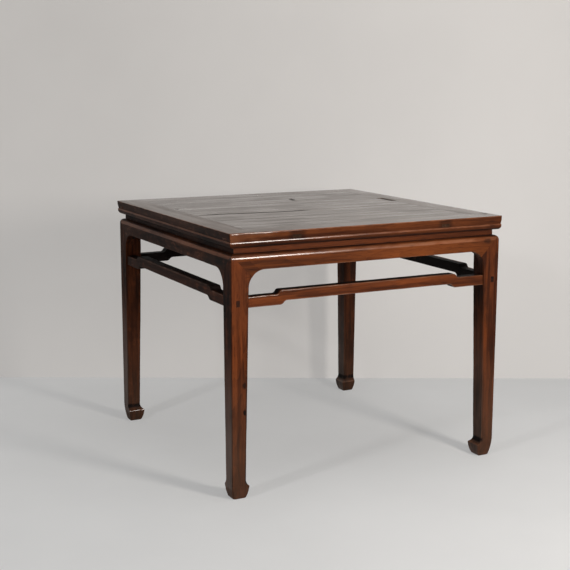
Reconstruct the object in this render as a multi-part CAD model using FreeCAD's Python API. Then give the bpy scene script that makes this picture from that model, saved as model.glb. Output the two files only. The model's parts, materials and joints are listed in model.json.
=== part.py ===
import FreeCAD, Part

import math
import os

from FreeCAD import Vector

# Chinese eight immortals table: a square waisted table held together by its joints alone.
# Millimetres. X runs along the front edge, Y from front to back and Z up.
# The origin is on the floor under the middle of the top.

# Overall size
top_length = 1000.0
top_width = 1000.0
table_height = 830.0

# Frame of the top and its moulded edge
frame_width = 82.0
frame_thick = 46.0
edge_round = 3.0
fascia_height = 27.0
fascia_lean = 5.5
bead_step = 2.3
moulding_inset = 11.0

# Corner joints of the frame
corner_tenon_inset = 28.0
corner_tenon_width = 30.0
corner_tenon_thick = 12.0
corner_tenon_depth = 18.0

# Boards of the panel, whose seams are measured from the middle of the table
panel_thick = 12.0
panel_gap = 0.5
groove_depth = 12.0
tongue_gap = 1.5
tongue_thick = 6.0
seam_one = -196.0
seam_two = -62.0
seam_three = 178.0
seam_gap = 0.3
seam_tongue_length = 5.0
seam_tongue_thick = 4.0

# Braces under the panel
brace_offset = 272.0
brace_width = 36.0
brace_depth = 28.0
dovetail_height = 4.5
dovetail_root = 20.0
dovetail_flare = 2.0
brace_tenon_shoulder = 3.0
brace_tenon_thick = 11.0

# Waist, apron and the mitred shoulder of the leg
waist_height = 19.0
waist_inset = 25.0
waist_tongue_length = 5.0
waist_tongue_thick = 5.0
apron_height = 50.5
apron_thick = 30.0
shoulder_ledge = 1.0
spandrel_radius = 55.0
mitre_tenon_start = 22.0
mitre_tenon_size = 23.0
mitre_tenon_inset = 6.0
mitre_tenon_thick = 12.0
pin_depth = 8.0
pin_root = 10.0
pin_flare = 2.0
pin_web = 3.0

# Legs and hoof feet
leg_inset = 8.0
leg_width = 59.0
ankle_width = 47.0
ankle_height = 62.0
hoof_reach = 12.5
hoof_lip_height = 41.0
foot_tuck = 8.0
foot_width = 41.0
leg_tenon_edge = 1.5
leg_tenon_width = 11.0
leg_tenon_thick = 10.0
leg_tenon_long = 22.0
leg_tenon_web = 2.0

# Hump-backed stretchers
stretcher_drop = 82.0
stretcher_height = 33.0
stretcher_depth = 36.0
stretcher_setback = 5.0
hump_rise = 12.5
hump_start = 96.0
hump_step_top = 20.0
hump_step_foot = 26.0
hump_lag = 12.0
stretcher_tenon_thick = 12.0
stretcher_tenon_height = 20.0
blind_tenon_gap = 1.0

# Clearance on the cheeks of every tenon, tongue and pin, and the overlap used when cutting
fit = 0.15
past = 5.0

# Levels and places that follow from the sizes above
frame_under = table_height - frame_thick
panel_under = table_height - panel_thick
tongue_length = groove_depth - tongue_gap
apron_top = frame_under - waist_height
apron_foot = apron_top - apron_height
spandrel_foot = apron_foot - spandrel_radius
leg_inner = leg_inset + leg_width
post_outer = leg_inset + apron_thick
shoulder_round = waist_inset - leg_inset - shoulder_ledge
waist_tongue_front = (waist_inset + post_outer - waist_tongue_thick) / 2
corner_tenon_top = table_height - corner_tenon_depth
corner_tenon_foot = corner_tenon_top - corner_tenon_thick
leg_tenon_short = corner_tenon_foot - frame_under - leg_tenon_web
pin_top = apron_top - waist_tongue_length - pin_web
stretcher_centre = leg_inset + stretcher_setback + stretcher_depth / 2
stretcher_top = apron_foot - stretcher_drop
stretcher_foot = stretcher_top - stretcher_height
stretcher_middle = (stretcher_top + stretcher_foot) / 2
blind_start = stretcher_centre + stretcher_tenon_thick / 2 + blind_tenon_gap
opening_length = top_length - 2 * frame_width
opening_width = top_width - 2 * frame_width


def arc_from(start, direction, end):
    """Arc that leaves start along direction: the point halfway along it, and its end."""
    chord = (end[0] - start[0], end[1] - start[1])
    turn = math.atan2(direction[1], direction[0]) - math.atan2(chord[1], chord[0])
    half = math.remainder(turn, 2 * math.pi) / 2
    reach = 0.5 / math.cos(half)
    across = reach * (chord[0] * math.cos(half) - chord[1] * math.sin(half))
    up = reach * (chord[0] * math.sin(half) + chord[1] * math.cos(half))
    return ((start[0] + across, start[1] + up), end)


def carried(outline, to_space, along):
    """Solid made by carrying a flat outline of lines and arcs along a straight line."""
    edges = []
    here = outline[0]
    for step in outline[1:] + outline[:1]:
        if isinstance(step[0], tuple):
            through, end = step
            edges.append(Part.Arc(to_space(here), to_space(through), to_space(end)).toShape())
        else:
            end = step
            edges.append(Part.makeLine(to_space(here), to_space(end)))
        here = end
    return Part.Face(Part.Wire(edges)).extrude(along)


def along_x(outline, x0, x1):
    """Outline in Y and Z, carried from x0 to x1."""
    return carried(outline, lambda p: Vector(x0, p[0], p[1]), Vector(x1 - x0, 0, 0))


def along_y(outline, y0, y1):
    """Outline in X and Z, carried from y0 to y1."""
    return carried(outline, lambda p: Vector(p[0], y0, p[1]), Vector(0, y1 - y0, 0))


def along_z(outline, z0, z1):
    """Outline in X and Y, carried from z0 to z1."""
    return carried(outline, lambda p: Vector(p[0], p[1], z0), Vector(0, 0, z1 - z0))


def block(x0, x1, y0, y1, z0, z1):
    """Square-edged block between two corners."""
    return Part.makeBox(x1 - x0, y1 - y0, z1 - z0, Vector(x0, y0, z0))


def moved(shape, x, y):
    """Copy of a shape shifted level with the floor."""
    copy = shape.copy()
    copy.translate(Vector(x, y, 0))
    return copy


def mirror_x(shape):
    """Copy on the other side of the plane between left and right."""
    return shape.mirror(Vector(0, 0, 0), Vector(1, 0, 0))


def mirror_y(shape):
    """Copy on the other side of the plane between front and back."""
    return shape.mirror(Vector(0, 0, 0), Vector(0, 1, 0))


def swapped(shape):
    """Corner feature of the front face turned into the same feature of the left face."""
    return shape.mirror(Vector(0, 0, 0), Vector(1, -1, 0))


# A side piece is drawn with X along the side from its middle and Y inwards from the frame's edge.
# A corner piece is drawn with X and Y inwards from the front left corner of the frame.


def both_ends(shape, length):
    """Corner shape set at the two ends of a side."""
    first = moved(shape, -length / 2, 0)
    return [first, mirror_x(first)]


def mitred(bar, length):
    """Bar with its ends cut on the diagonals through the corners of the frame."""
    deep = frame_width + past
    plan = [(-length / 2, 0), (length / 2, 0), (length / 2 - deep, deep), (deep - length / 2, deep)]
    return bar.common(along_z(plan, 0, table_height))


def to_front(shape):
    """Side piece moved to the front of the table."""
    return moved(shape, 0, -top_width / 2)


def to_left(shape):
    """Side piece turned and moved to the left of the table."""
    copy = shape.copy()
    copy.rotate(Vector(0, 0, 0), Vector(0, 0, 1), -90)
    copy.translate(Vector(-top_length / 2, 0, 0))
    return copy


def frame_outline():
    """Section of the frame: eased arris, leaning fascia, ledge, and a round moulding under it."""
    fascia_foot = table_height - fascia_height
    ledge_edge = (fascia_lean - bead_step, fascia_foot)
    arris = (edge_round, table_height)
    return [
        (frame_width, frame_under),
        (frame_width, table_height),
        arris,
        arc_from(arris, (-1, 0), (0, table_height - edge_round)),
        (fascia_lean, fascia_foot),
        ledge_edge,
        arc_from(ledge_edge, (0, -1), (moulding_inset, frame_under)),
    ]


def corner_tenon(slack):
    """Tenon of a front or back frame member, from outside the frame's edge to past the mitre."""
    near = corner_tenon_inset - slack
    far = corner_tenon_inset + corner_tenon_width + slack
    return block(-past, far, near, far, corner_tenon_foot - slack, corner_tenon_top + slack)


def leg_tenons(slack):
    """Long tenon for the front or back frame member and short one for the left or right member."""
    far = leg_inner - leg_tenon_edge
    near = post_outer + leg_tenon_edge
    plan = (far - leg_tenon_width - slack, far + slack, near - slack, near + leg_tenon_thick + slack)
    root = frame_under - past
    long_one = block(*plan, root, frame_under + leg_tenon_long + slack)
    short_one = swapped(block(*plan, root, frame_under + leg_tenon_short + slack))
    return [long_one, short_one]


def brace_tenon(slack):
    """Tenon at the front end of a brace, running from the outer edge of the frame to its inner face."""
    half = brace_width / 2 - brace_tenon_shoulder + slack
    top = panel_under - brace_tenon_shoulder + slack
    foot = panel_under - brace_tenon_shoulder - brace_tenon_thick - slack
    return block(-half, half, -past, frame_width + past, foot, top)


def frame_bar(length):
    """Mitred frame member with the groove for the panel and the groove for the waist."""
    bar = mitred(along_x(frame_outline(), -length / 2, length / 2), length)
    groove = block(
        -length, length, frame_width - groove_depth, frame_width + past,
        panel_under - fit, panel_under + tongue_thick + fit,
    )
    waist_groove = block(
        -length, length, waist_tongue_front - fit, waist_tongue_front + waist_tongue_thick + fit,
        frame_under - past, frame_under + waist_tongue_length + fit,
    )
    return bar.cut([groove, waist_groove])


def frame_front():
    """Front frame member: a through tenon at each end and a through mortise for each brace."""
    tenon = corner_tenon(0).common(along_y(frame_outline(), 0, frame_width))
    member = frame_bar(top_length).fuse(both_ends(tenon, top_length))
    cuts = [moved(brace_tenon(fit), side * brace_offset, 0) for side in (-1, 1)]
    for socket in leg_tenons(fit):
        cuts += both_ends(socket, top_length)
    return to_front(member.cut(cuts))


def frame_left():
    """Left frame member: mortised through at each end for the tenons of its neighbours."""
    cuts = []
    for socket in [corner_tenon(fit)] + leg_tenons(fit):
        cuts += both_ends(swapped(socket), top_width)
    return to_left(frame_bar(top_width).cut(cuts))


def dovetail(slack, reach):
    """Flared key on the top of a brace, reaching as far to the front as to the back."""
    root = dovetail_root / 2 + slack
    tip = root + dovetail_flare
    top = panel_under + dovetail_height + slack
    foot = panel_under - dovetail_height
    outline = [(dovetail_flare - root, foot), (root - dovetail_flare, foot), (tip, top), (-tip, top)]
    return along_y(outline, -reach, reach)


def brace(side):
    """Brace across the grain: a dovetail key above, a through tenon at each end."""
    half = brace_width / 2
    reach = opening_width / 2
    bar = block(-half, half, -reach, reach, panel_under - brace_depth, panel_under)
    edge = along_x(frame_outline(), -brace_width, brace_width)
    tenon = to_front(brace_tenon(0).common(edge))
    bar = bar.fuse([dovetail(0, reach - panel_gap), tenon, mirror_y(tenon)])
    return moved(bar, side * brace_offset, 0)


def panel_board(front, back):
    """Board between two seams, tongued into the frame and into the next board."""
    edge = opening_width / 2
    first = front <= -edge
    last = back >= edge
    y0 = -edge + panel_gap if first else front + seam_gap / 2
    y1 = edge - panel_gap if last else back - seam_gap / 2
    reach = opening_length / 2 - panel_gap
    tip = opening_length / 2 + tongue_length
    tongue_front = -edge - tongue_length if first else y0
    tongue_back = edge + tongue_length if last else y1
    board = block(-reach, reach, y0, y1, panel_under, table_height)
    board = board.fuse(block(-tip, tip, tongue_front, tongue_back, panel_under, panel_under + tongue_thick))
    middle = panel_under + panel_thick / 2
    half = seam_tongue_thick / 2
    if not last:
        tongue = block(-reach, reach, y1, y1 + seam_tongue_length, middle - half, middle + half)
        board = board.fuse(tongue)
    if not first:
        depth = y0 - seam_gap + seam_tongue_length + fit
        board = board.cut(block(-tip, tip, y0 - past, depth, middle - half - fit, middle + half + fit))
    groove = dovetail(fit, edge + groove_depth)
    return board.cut([moved(groove, side * brace_offset, 0) for side in (-1, 1)])


def waist(length):
    """Waist strip, mitred at the corners and tongued into the frame above and the apron below."""
    strip = block(-length / 2, length / 2, waist_inset, post_outer, apron_top, frame_under)
    tongue = block(
        -length / 2, length / 2, waist_tongue_front, waist_tongue_front + waist_tongue_thick,
        apron_top - waist_tongue_length, frame_under + waist_tongue_length,
    )
    return mitred(strip.fuse(tongue), length)


def mitre_level(inward):
    """Height of the 45 degree seam between leg and apron at a distance in from the frame's edge."""
    return apron_top - (inward - leg_inset)


def spandrel_mitre():
    """Point where the seam between leg and apron meets the curve under them."""
    centre = leg_inner + spandrel_radius
    offset = mitre_level(centre) - spandrel_foot
    inward = centre + (offset - math.sqrt(2 * spandrel_radius ** 2 - offset ** 2)) / 2
    return (inward, mitre_level(inward))


def shoulder_outline():
    """Space outside the rounded top edge that leg and apron share."""
    low = apron_top - shoulder_round
    return [
        (leg_inset - past, low),
        (leg_inset, low),
        arc_from((leg_inset, low), (0, 1), (leg_inset + shoulder_round, apron_top)),
        (leg_inset + shoulder_round, apron_top + past),
        (leg_inset - past, apron_top + past),
    ]


def hanging_pin(slack):
    """Dovetail pin on the front of the leg's post, over which the apron slides down."""
    centre = (post_outer + leg_inner) / 2
    root = pin_root / 2 + slack
    tip = root + pin_flare
    back = post_outer + slack
    plan = [
        (centre - root, back), (centre + root, back),
        (centre + tip, post_outer - pin_depth - slack), (centre - tip, post_outer - pin_depth - slack),
    ]
    return along_z(plan, mitre_level(leg_inner), pin_top + slack)


def mitre_tenon(slack):
    """Block across the seam: the half below it is the apron's three-cornered tenon in the leg."""
    start = leg_inset + mitre_tenon_start
    end = start + mitre_tenon_size
    front = leg_inset + mitre_tenon_inset
    back = front + mitre_tenon_thick
    return block(
        start - slack, end + slack, front - slack, back + slack,
        mitre_level(end) - slack, mitre_level(start) + slack,
    )


def apron(length):
    """Apron with a rounded shoulder, curved spandrels and mitred ends that hang on the legs."""
    seam = spandrel_mitre()
    curve_end = leg_inner + spandrel_radius
    half = length / 2
    right_seam = (half - seam[0], seam[1])
    left_curve = (curve_end - half, apron_foot)
    right_arc = arc_from((half - curve_end, apron_foot), (1, 0), right_seam)
    left_arc = arc_from(left_curve, (-1, 0), (seam[0] - half, seam[1]))
    elevation = [
        (leg_inset - half, apron_top),
        (half - leg_inset, apron_top),
        right_seam,
        (right_arc[0], (half - curve_end, apron_foot)),
        left_curve,
        left_arc,
    ]
    bar = along_y(elevation, leg_inset, post_outer)
    bar = mitred(bar.cut(along_x(shoulder_outline(), -half, half)), length)
    bar = bar.fuse(both_ends(mitre_tenon(0), length))
    waist_groove = block(
        -half, half, waist_tongue_front - fit, waist_tongue_front + waist_tongue_thick + fit,
        apron_top - waist_tongue_length - fit, apron_top + past,
    )
    return bar.cut([waist_groove] + both_ends(hanging_pin(fit), length))


def leg_outline():
    """Outline of a leg face: straight outside, tapered inside, turned inwards at the hoof."""
    foot_outer = leg_inset + foot_tuck
    ankle = (leg_inset + ankle_width, ankle_height)
    lip = (leg_inset + ankle_width + hoof_reach, hoof_lip_height)
    outer_curve = arc_from((leg_inset, ankle_height), (0, -1), (foot_outer, 0))
    return [
        (foot_outer, 0),
        (outer_curve[0], (leg_inset, ankle_height)),
        (leg_inset, frame_under),
        (leg_inner, frame_under),
        (leg_inner, spandrel_foot),
        ankle,
        arc_from(ankle, (0, -1), lip),
        arc_from(lip, (0, -1), (foot_outer + foot_width, 0)),
    ]


def leg_blank():
    """Leg as a square post shaped alike on its two faces, before any joint is cut."""
    reach = leg_inner + hoof_reach
    face = along_y(leg_outline(), 0, reach)
    return face.common(swapped(face))


def leg_ear():
    """Part of the spandrel curve that grows from the inner side of the leg."""
    foot = (leg_inner, spandrel_foot)
    curve = arc_from(foot, (0, 1), spandrel_mitre())
    return along_y([foot, curve, (leg_inner, mitre_level(leg_inner))], leg_inset, post_outer)


def apron_space():
    """Everything above the mitred shoulder in front of the leg's post."""
    far = leg_inner + spandrel_radius
    outline = [
        (leg_inset - past, mitre_level(leg_inset - past)),
        (far, mitre_level(far)),
        (far, frame_under + past),
        (leg_inset - past, frame_under + past),
    ]
    return along_y(outline, leg_inset - past, post_outer)


def stretcher_tenon(start, slack):
    """Tenon of a stretcher along X, from start to inside the stretcher."""
    half = stretcher_tenon_thick / 2 + slack
    rise = stretcher_tenon_height / 2 + slack
    return block(
        start, leg_inner + past, stretcher_centre - half, stretcher_centre + half,
        stretcher_middle - rise, stretcher_middle + rise,
    )


def leg():
    """Front left leg, with its mitred shoulders, hanging pins, tenons and mortises."""
    ears = [leg_ear(), swapped(leg_ear())]
    body = leg_blank().fuse(ears)
    shoulder = along_x(shoulder_outline(), 0, leg_inner)
    spaces = [apron_space(), shoulder]
    body = body.cut(spaces + [swapped(space) for space in spaces])
    body = body.fuse([hanging_pin(0), swapped(hanging_pin(0))] + leg_tenons(0))
    mitre_mortise = mitre_tenon(fit)
    through_mortise = swapped(stretcher_tenon(-past, fit))
    blind_mortise = stretcher_tenon(blind_start - fit, fit)
    body = body.cut([mitre_mortise, swapped(mitre_mortise), through_mortise, blind_mortise])
    return moved(body, -top_length / 2, -top_width / 2)


def s_curve(start, end):
    """Two arcs that leave start level and reach end level."""
    middle = ((start[0] + end[0]) / 2, (start[1] + end[1]) / 2)
    level = (end[0] - start[0], 0)
    first = arc_from(start, level, middle)
    through = (2 * middle[0] - first[0][0], 2 * middle[1] - first[0][1])
    return [first, (through, end)]


def stretcher(length, tenon_start):
    """Hump-backed stretcher between two legs, with a tenon at each end that runs in to tenon_start."""
    end = length / 2 - leg_inset - leg_width / 2
    top_start = length / 2 - leg_inner - hump_start
    top_end = top_start - hump_step_top
    foot_start = top_start - hump_lag
    foot_end = foot_start - hump_step_foot
    raised_top = stretcher_top + hump_rise
    raised_foot = stretcher_foot + hump_rise
    elevation = [
        (-end, stretcher_foot),
        (-end, stretcher_top),
        (-top_start, stretcher_top),
        *s_curve((-top_start, stretcher_top), (-top_end, raised_top)),
        (top_end, raised_top),
        *s_curve((top_end, raised_top), (top_start, stretcher_top)),
        (end, stretcher_top),
        (end, stretcher_foot),
        (foot_start, stretcher_foot),
        *s_curve((foot_start, stretcher_foot), (foot_end, raised_foot)),
        (-foot_end, raised_foot),
        *s_curve((-foot_end, raised_foot), (-foot_start, stretcher_foot)),
    ]
    front = leg_inset + stretcher_setback
    bar = along_y(elevation, front, front + stretcher_depth)
    bar = bar.cut(both_ends(leg_blank(), length))
    return bar.fuse(both_ends(stretcher_tenon(tenon_start, 0), length))


def pieces():
    """Every piece of the table under its own name."""
    found = {}
    found["frame_front"] = frame_front()
    found["frame_left"] = frame_left()
    found["waist_front"] = to_front(waist(top_length))
    found["waist_left"] = to_left(waist(top_width))
    found["apron_front"] = to_front(apron(top_length))
    found["apron_left"] = to_left(apron(top_width))
    found["stretcher_front"] = to_front(stretcher(top_length, blind_start))
    found["stretcher_left"] = to_left(stretcher(top_width, leg_inset))
    for name in ("frame", "waist", "apron", "stretcher"):
        found[name + "_back"] = mirror_y(found[name + "_front"])
        found[name + "_right"] = mirror_x(found[name + "_left"])
    found["leg_front_left"] = leg()
    found["leg_front_right"] = mirror_x(found["leg_front_left"])
    found["leg_back_left"] = mirror_y(found["leg_front_left"])
    found["leg_back_right"] = mirror_y(found["leg_front_right"])
    seams = [-opening_width / 2, seam_one, seam_two, seam_three, opening_width / 2]
    for number, (front, back) in enumerate(zip(seams, seams[1:]), start=1):
        found["panel_board_%d" % number] = panel_board(front, back)
    found["brace_left"] = brace(-1)
    found["brace_right"] = brace(1)
    return found


os.makedirs("parts", exist_ok=True)
for node, shape in pieces().items():
    clean = shape.removeSplitter()
    clean.exportStep("parts/%s.step" % node)
    print(node, len(clean.Solids), "solid,", round(clean.Volume / 1000, 1), "cm3, valid", clean.isValid())
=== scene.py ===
# %% [markdown]
# # A Chinese eight immortals table
# The real object is a square hardwood table that stands by its joints alone: a mitred frame round
# four boards, a sunken waist, aprons that meet the legs on a mitre, and hump-backed stretchers.
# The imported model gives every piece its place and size. This lesson builds the surface that the eye
# meets, with arrises softened by hands and a waxed grain, and puts each surface where its solid is.

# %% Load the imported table
import json
import math

import bmesh
import bpy
import numpy as np
from mathutils import Matrix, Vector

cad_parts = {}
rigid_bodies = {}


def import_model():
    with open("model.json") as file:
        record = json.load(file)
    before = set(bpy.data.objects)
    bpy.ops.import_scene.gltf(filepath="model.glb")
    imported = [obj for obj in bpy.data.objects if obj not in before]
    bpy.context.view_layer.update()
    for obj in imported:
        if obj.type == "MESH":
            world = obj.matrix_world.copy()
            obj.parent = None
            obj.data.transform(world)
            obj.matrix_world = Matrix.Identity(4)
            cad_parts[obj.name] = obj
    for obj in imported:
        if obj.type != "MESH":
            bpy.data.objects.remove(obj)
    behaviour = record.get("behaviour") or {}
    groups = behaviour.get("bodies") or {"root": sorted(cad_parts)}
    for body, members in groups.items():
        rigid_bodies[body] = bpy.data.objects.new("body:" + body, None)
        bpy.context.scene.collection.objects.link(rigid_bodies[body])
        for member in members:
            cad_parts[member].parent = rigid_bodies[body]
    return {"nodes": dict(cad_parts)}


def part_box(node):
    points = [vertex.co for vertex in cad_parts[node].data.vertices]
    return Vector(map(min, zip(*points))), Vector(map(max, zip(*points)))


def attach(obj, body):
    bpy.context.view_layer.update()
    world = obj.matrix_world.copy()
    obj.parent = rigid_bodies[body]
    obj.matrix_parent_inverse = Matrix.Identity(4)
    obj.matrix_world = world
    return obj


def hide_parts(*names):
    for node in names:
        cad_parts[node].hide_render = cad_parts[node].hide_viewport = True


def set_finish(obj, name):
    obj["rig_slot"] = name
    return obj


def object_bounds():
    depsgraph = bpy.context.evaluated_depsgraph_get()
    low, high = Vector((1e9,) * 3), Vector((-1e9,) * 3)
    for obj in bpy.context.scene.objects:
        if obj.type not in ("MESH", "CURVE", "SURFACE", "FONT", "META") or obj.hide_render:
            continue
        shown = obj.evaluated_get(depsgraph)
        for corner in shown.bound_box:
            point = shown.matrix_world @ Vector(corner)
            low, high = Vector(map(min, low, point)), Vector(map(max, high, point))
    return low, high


for leftover in list(bpy.data.objects):
    bpy.data.objects.remove(leftover)
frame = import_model()
cad_low, cad_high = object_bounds()
print("packed table: %d pieces, %.3f m high" % (len(frame["nodes"]), cad_high.z - cad_low.z))

# %% [markdown]
# ## The camera
# The table is seen from a little over its top, past the front left corner. A camera can be placed by
# eye, but the straight edges of a table give it away at once, so its place, turn and lens were worked
# out from the corners of the top and the feet. Three directions describe the turn: right, up and back.

# %% Put the camera where the table was seen from
PICTURE_WIDTH, SENSOR_WIDTH = 570, 36.0
LENS_IN_PIXELS = 1162.47
CAMERA_PLACE = (-1.9030, -3.5815, 1.2995)
CAMERA_TURN, CAMERA_DIP, CAMERA_ROLL = (math.radians(d) for d in (-27.253, 10.413, 0.120))


def camera_axes(turn, dip, roll):
    """Right, up and back directions of a camera turned about the upright axis, dipped, then rolled."""
    ahead = np.array([-math.sin(turn) * math.cos(dip), math.cos(turn) * math.cos(dip), -math.sin(dip)])
    level = np.array([math.cos(turn), math.sin(turn), 0.0])
    upright = np.cross(level, ahead)
    right = math.cos(roll) * level + math.sin(roll) * upright
    up = math.cos(roll) * upright - math.sin(roll) * level
    return np.stack([right, up, -ahead], axis=1)


def set_down(thing, axes, place):
    """Gives an object its right, up and back directions and its place, and links it into the scene."""
    matrix = np.eye(4)
    matrix[:3, :3], matrix[:3, 3] = axes, place
    thing.matrix_world = Matrix(matrix.tolist())
    bpy.context.scene.collection.objects.link(thing)


viewer = bpy.data.objects.new("viewer", bpy.data.cameras.new("viewer"))
viewer.data.sensor_width = SENSOR_WIDTH
viewer.data.lens = SENSOR_WIDTH * LENS_IN_PIXELS / PICTURE_WIDTH
set_down(viewer, camera_axes(CAMERA_TURN, CAMERA_DIP, CAMERA_ROLL), CAMERA_PLACE)
bpy.context.scene.camera = viewer
print("camera: lens %.1f mm" % viewer.data.lens)

# %% [markdown]
# ## Sizes
# A joiner sets every piece out from the edge of the top, so the same is done here: a distance inwards
# is counted from the outer edge of the frame, and heights from the floor. Sizes are in millimetres and
# become metres only when a mesh is made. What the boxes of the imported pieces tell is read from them.
# The rest, such as the curve of the spandrel, lies inside those boxes and is written down.

# %% Sizes that the pieces share
MM = 0.001
HALF = round(cad_high.x / MM, 2)


def packed_box(node):
    """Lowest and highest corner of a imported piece, in millimetres to the hundredth."""
    return (np.array(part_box(node)) / MM).round(2)


def set_out(node):
    """Outer and inner face of a front piece as distances inwards, then its underside and top as heights."""
    (_, outer, under), (_, inner, top) = packed_box(node)
    return HALF + outer, HALF + inner, under, top


_, FRAME_WIDTH, FRAME_UNDER, TABLE_TOP = set_out("frame_front")
_, _, PANEL_UNDER, _ = set_out("panel_board_1")
WAIST_FACE, APRON_BACK, _, _ = set_out("waist_front")
LEG_FACE, _, _, APRON_TOP = set_out("apron_front")
(brace_from, _, BRACE_UNDER), (brace_to, _, _) = packed_box("brace_left")
BRACE_PLACE, BRACE_HALF = -(brace_from + brace_to) / 2, (brace_to - brace_from) / 2
OPENING = HALF - FRAME_WIDTH
LEG_INNER, SHOULDER, SPANDREL, APRON_DEPTH = 67.0, 16.0, 55.0, 50.5
APRON_FOOT, MITRE_TOP = APRON_TOP - APRON_DEPTH, APRON_TOP + LEG_FACE
SPANDREL_FOOT = APRON_FOOT - SPANDREL
SIDES = ("front", "right", "back", "left")
print("table top at %.0f mm, apron from %.1f to %.1f mm" % (TABLE_TOP, APRON_FOOT, APRON_TOP))
print("braces stand %.0f mm either side of the middle" % BRACE_PLACE)

# %% [markdown]
# ## Hand work
# A plane and a scraper leave a surface that is nearly, but never quite, straight. A noise texture could
# fake this in the material, but the edge of the shadow would stay ruler straight, so the mesh itself
# wanders: a few sine waves, each shorter and lower than the last, with phases from a seed.

# %% Slow unevenness along a piece
SINES = 5
ACROSS_SWELL, ALONG_SWELL, PLANED_OFF = 0.22, 0.16, 0.38
ACROSS_LENGTH, ALONG_LENGTH, SLANT = 260.0, 640.0, 0.05


def wander(along, seed, longest):
    """Between -1 and 1: five sines, each half as long and two thirds as high as the one before."""
    order = np.arange(SINES)
    phase = np.random.default_rng(seed).uniform(0.0, 2.0 * np.pi, SINES)
    height = (2.0 / 3.0) ** order
    waves = np.sin(2.0 * np.pi * np.asarray(along)[..., None] * 2.0 ** order / longest + phase)
    return (waves * height).sum(-1) / height.sum()


def bump(along, start, end, edge):
    """One between start and end, zero outside, with a smooth slope of length edge at both ends."""
    rise = np.clip((along - start) / edge, 0.0, 1.0) * np.clip((end - along) / edge, 0.0, 1.0)
    return rise * rise * (3.0 - 2.0 * rise)


def planed(x, y):
    """Height of the planed top over dead level: a swell each way, which lies just below it everywhere."""
    across = ACROSS_SWELL * wander(y + SLANT * x, 11, ACROSS_LENGTH)
    return across + ALONG_SWELL * wander(x, 12, ALONG_LENGTH) - PLANED_OFF


print("planed top: %.2f mm at the middle" % planed(0.0, 0.0))

# %% [markdown]
# ## A section with eased corners
# Every stick of this table is a section carried along its length. Its corners are never sharp: a few
# strokes of a plane and centuries of hands round them off. A bevel modifier would give every corner the
# same width, so each corner gets its own easing here, which may change along the stick. The curve is the
# parabola that leaves one side, bends towards the corner and lands on the next side.

# %% Rounded sections
EASING_STEPS = np.linspace(0.0, 1.0, 5)
GUARD, GUARD_SHARE = 0.8, 0.3


def corners_of(*pairs):
    """Corners by station, from one pair of coordinates for each corner: numbers, or arrays along the stick."""
    return np.stack([np.stack(np.broadcast_arrays(a, b), axis=1) for a, b in pairs], axis=1)


def carried(outline, stations):
    """The same outline at every station."""
    return np.broadcast_to(outline, (len(stations),) + np.shape(outline))


def eased_section(corners, eases, fills):
    """Rings of points round a section whose corners are parabolas.

    corners is stations by corners by 2, and eases the distance from each corner at which its curve
    starts, by station: a corner whose eases are all zero stays one point. fills gives how many points
    stand on the side after each corner, besides one near each end, or -1 for none. Returns the rings,
    how worn each point is, and the number of the corner that it rounds, or -1 for a point on a side.
    """
    following = np.roll(corners, -1, axis=1)
    side = following - corners
    length = np.linalg.norm(side, axis=2, keepdims=True)
    onward = side / np.maximum(length, 1e-9)
    back = -np.roll(onward, 1, axis=1)
    rings, worn, owner = [], [], []
    for c in range(corners.shape[1]):
        corner, ease = corners[:, c], eases[:, c, None]
        leaves, lands = corner + back[:, c] * ease, corner + onward[:, c] * ease
        steps = EASING_STEPS if eases[:, c].max() > 0.0 else EASING_STEPS[:1]
        for t in steps:
            rings.append((1 - t) ** 2 * leaves + 2 * t * (1 - t) * corner + t ** 2 * lands)
            worn.append(1.0 - abs(2 * t - 1) * 0.5 if len(steps) > 1 else 0.0)
            owner.append(c)
        n = (c + 1) % corners.shape[1]
        stop = following[:, c] - onward[:, c] * eases[:, n, None]
        guard = np.minimum(GUARD_SHARE, GUARD / np.maximum(length[:, c], 1e-6))
        for spot in np.linspace(0.0, 1.0, fills[c] + 2) if fills[c] >= 0 else []:
            rings.append(lands + (stop - lands) * (guard + (1.0 - 2.0 * guard) * spot))
            worn.append(0.0)
            owner.append(-1)
    return np.stack(rings, axis=1), np.array(worn), np.array(owner)


print("an eased corner has %d points" % len(EASING_STEPS))


# %% A closed skin over the rings
def both_ways(values):
    """Sorted stations on both sides of the middle."""
    values = np.asarray(values, float)
    return np.unique(np.concatenate([-values, values]))


def drawn_in(rings, amount):
    """Rings moved towards their own middle by a distance for each ring, which eases the end of a stick."""
    middle = rings.mean(axis=1, keepdims=True)
    away = rings - middle
    size = np.linalg.norm(away, axis=2, keepdims=True)
    return middle + away * (1.0 - amount[:, None, None] / np.maximum(size, 1e-6))


def skin(rings, closed=(True, True)):
    """Blocks of faces over rings joined in order: four-sided ones between them, then a flat one on each end."""
    count, around = rings.shape[:2]
    i = np.arange(count - 1)[:, None] * around
    j = np.arange(around)[None, :]
    k = (j + 1) % around
    quads = np.stack([i + j, i + k, i + around + k, i + around + j], axis=-1).reshape(-1, 4)
    first, last = j[:, ::-1], j + (count - 1) * around
    return [quads] + [cap for cap, wanted in zip((first, last), closed) if wanted]


def facing_out(points, blocks):
    """Faces turned outwards: if the signed volume under them is negative, each one is turned round."""
    fans = [np.stack([f[:, :1] + 0 * f[:, 2:], f[:, 1:-1], f[:, 2:]], axis=-1).reshape(-1, 3) for f in blocks]
    a, b, c = (points[np.concatenate(fans)[:, n]] for n in range(3))
    inside_out = np.einsum("ij,ij->i", a, np.cross(b, c)).sum() < 0.0
    return [f[:, ::-1] for f in blocks] if inside_out else blocks


def shell(rings, grain, worn=0.0, waxed=0.0, bleached=0.0, polished=0.0):
    """One closed shell: points, faces, grain coordinates, then the four masks, one row to a point."""
    around = rings.shape[:2]
    points = rings.reshape(-1, 3)
    spread = [np.broadcast_to(mask, around).reshape(-1) for mask in (worn, waxed, bleached, polished)]
    return points, facing_out(points, skin(rings)), grain.reshape(-1, 3), *spread


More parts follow.
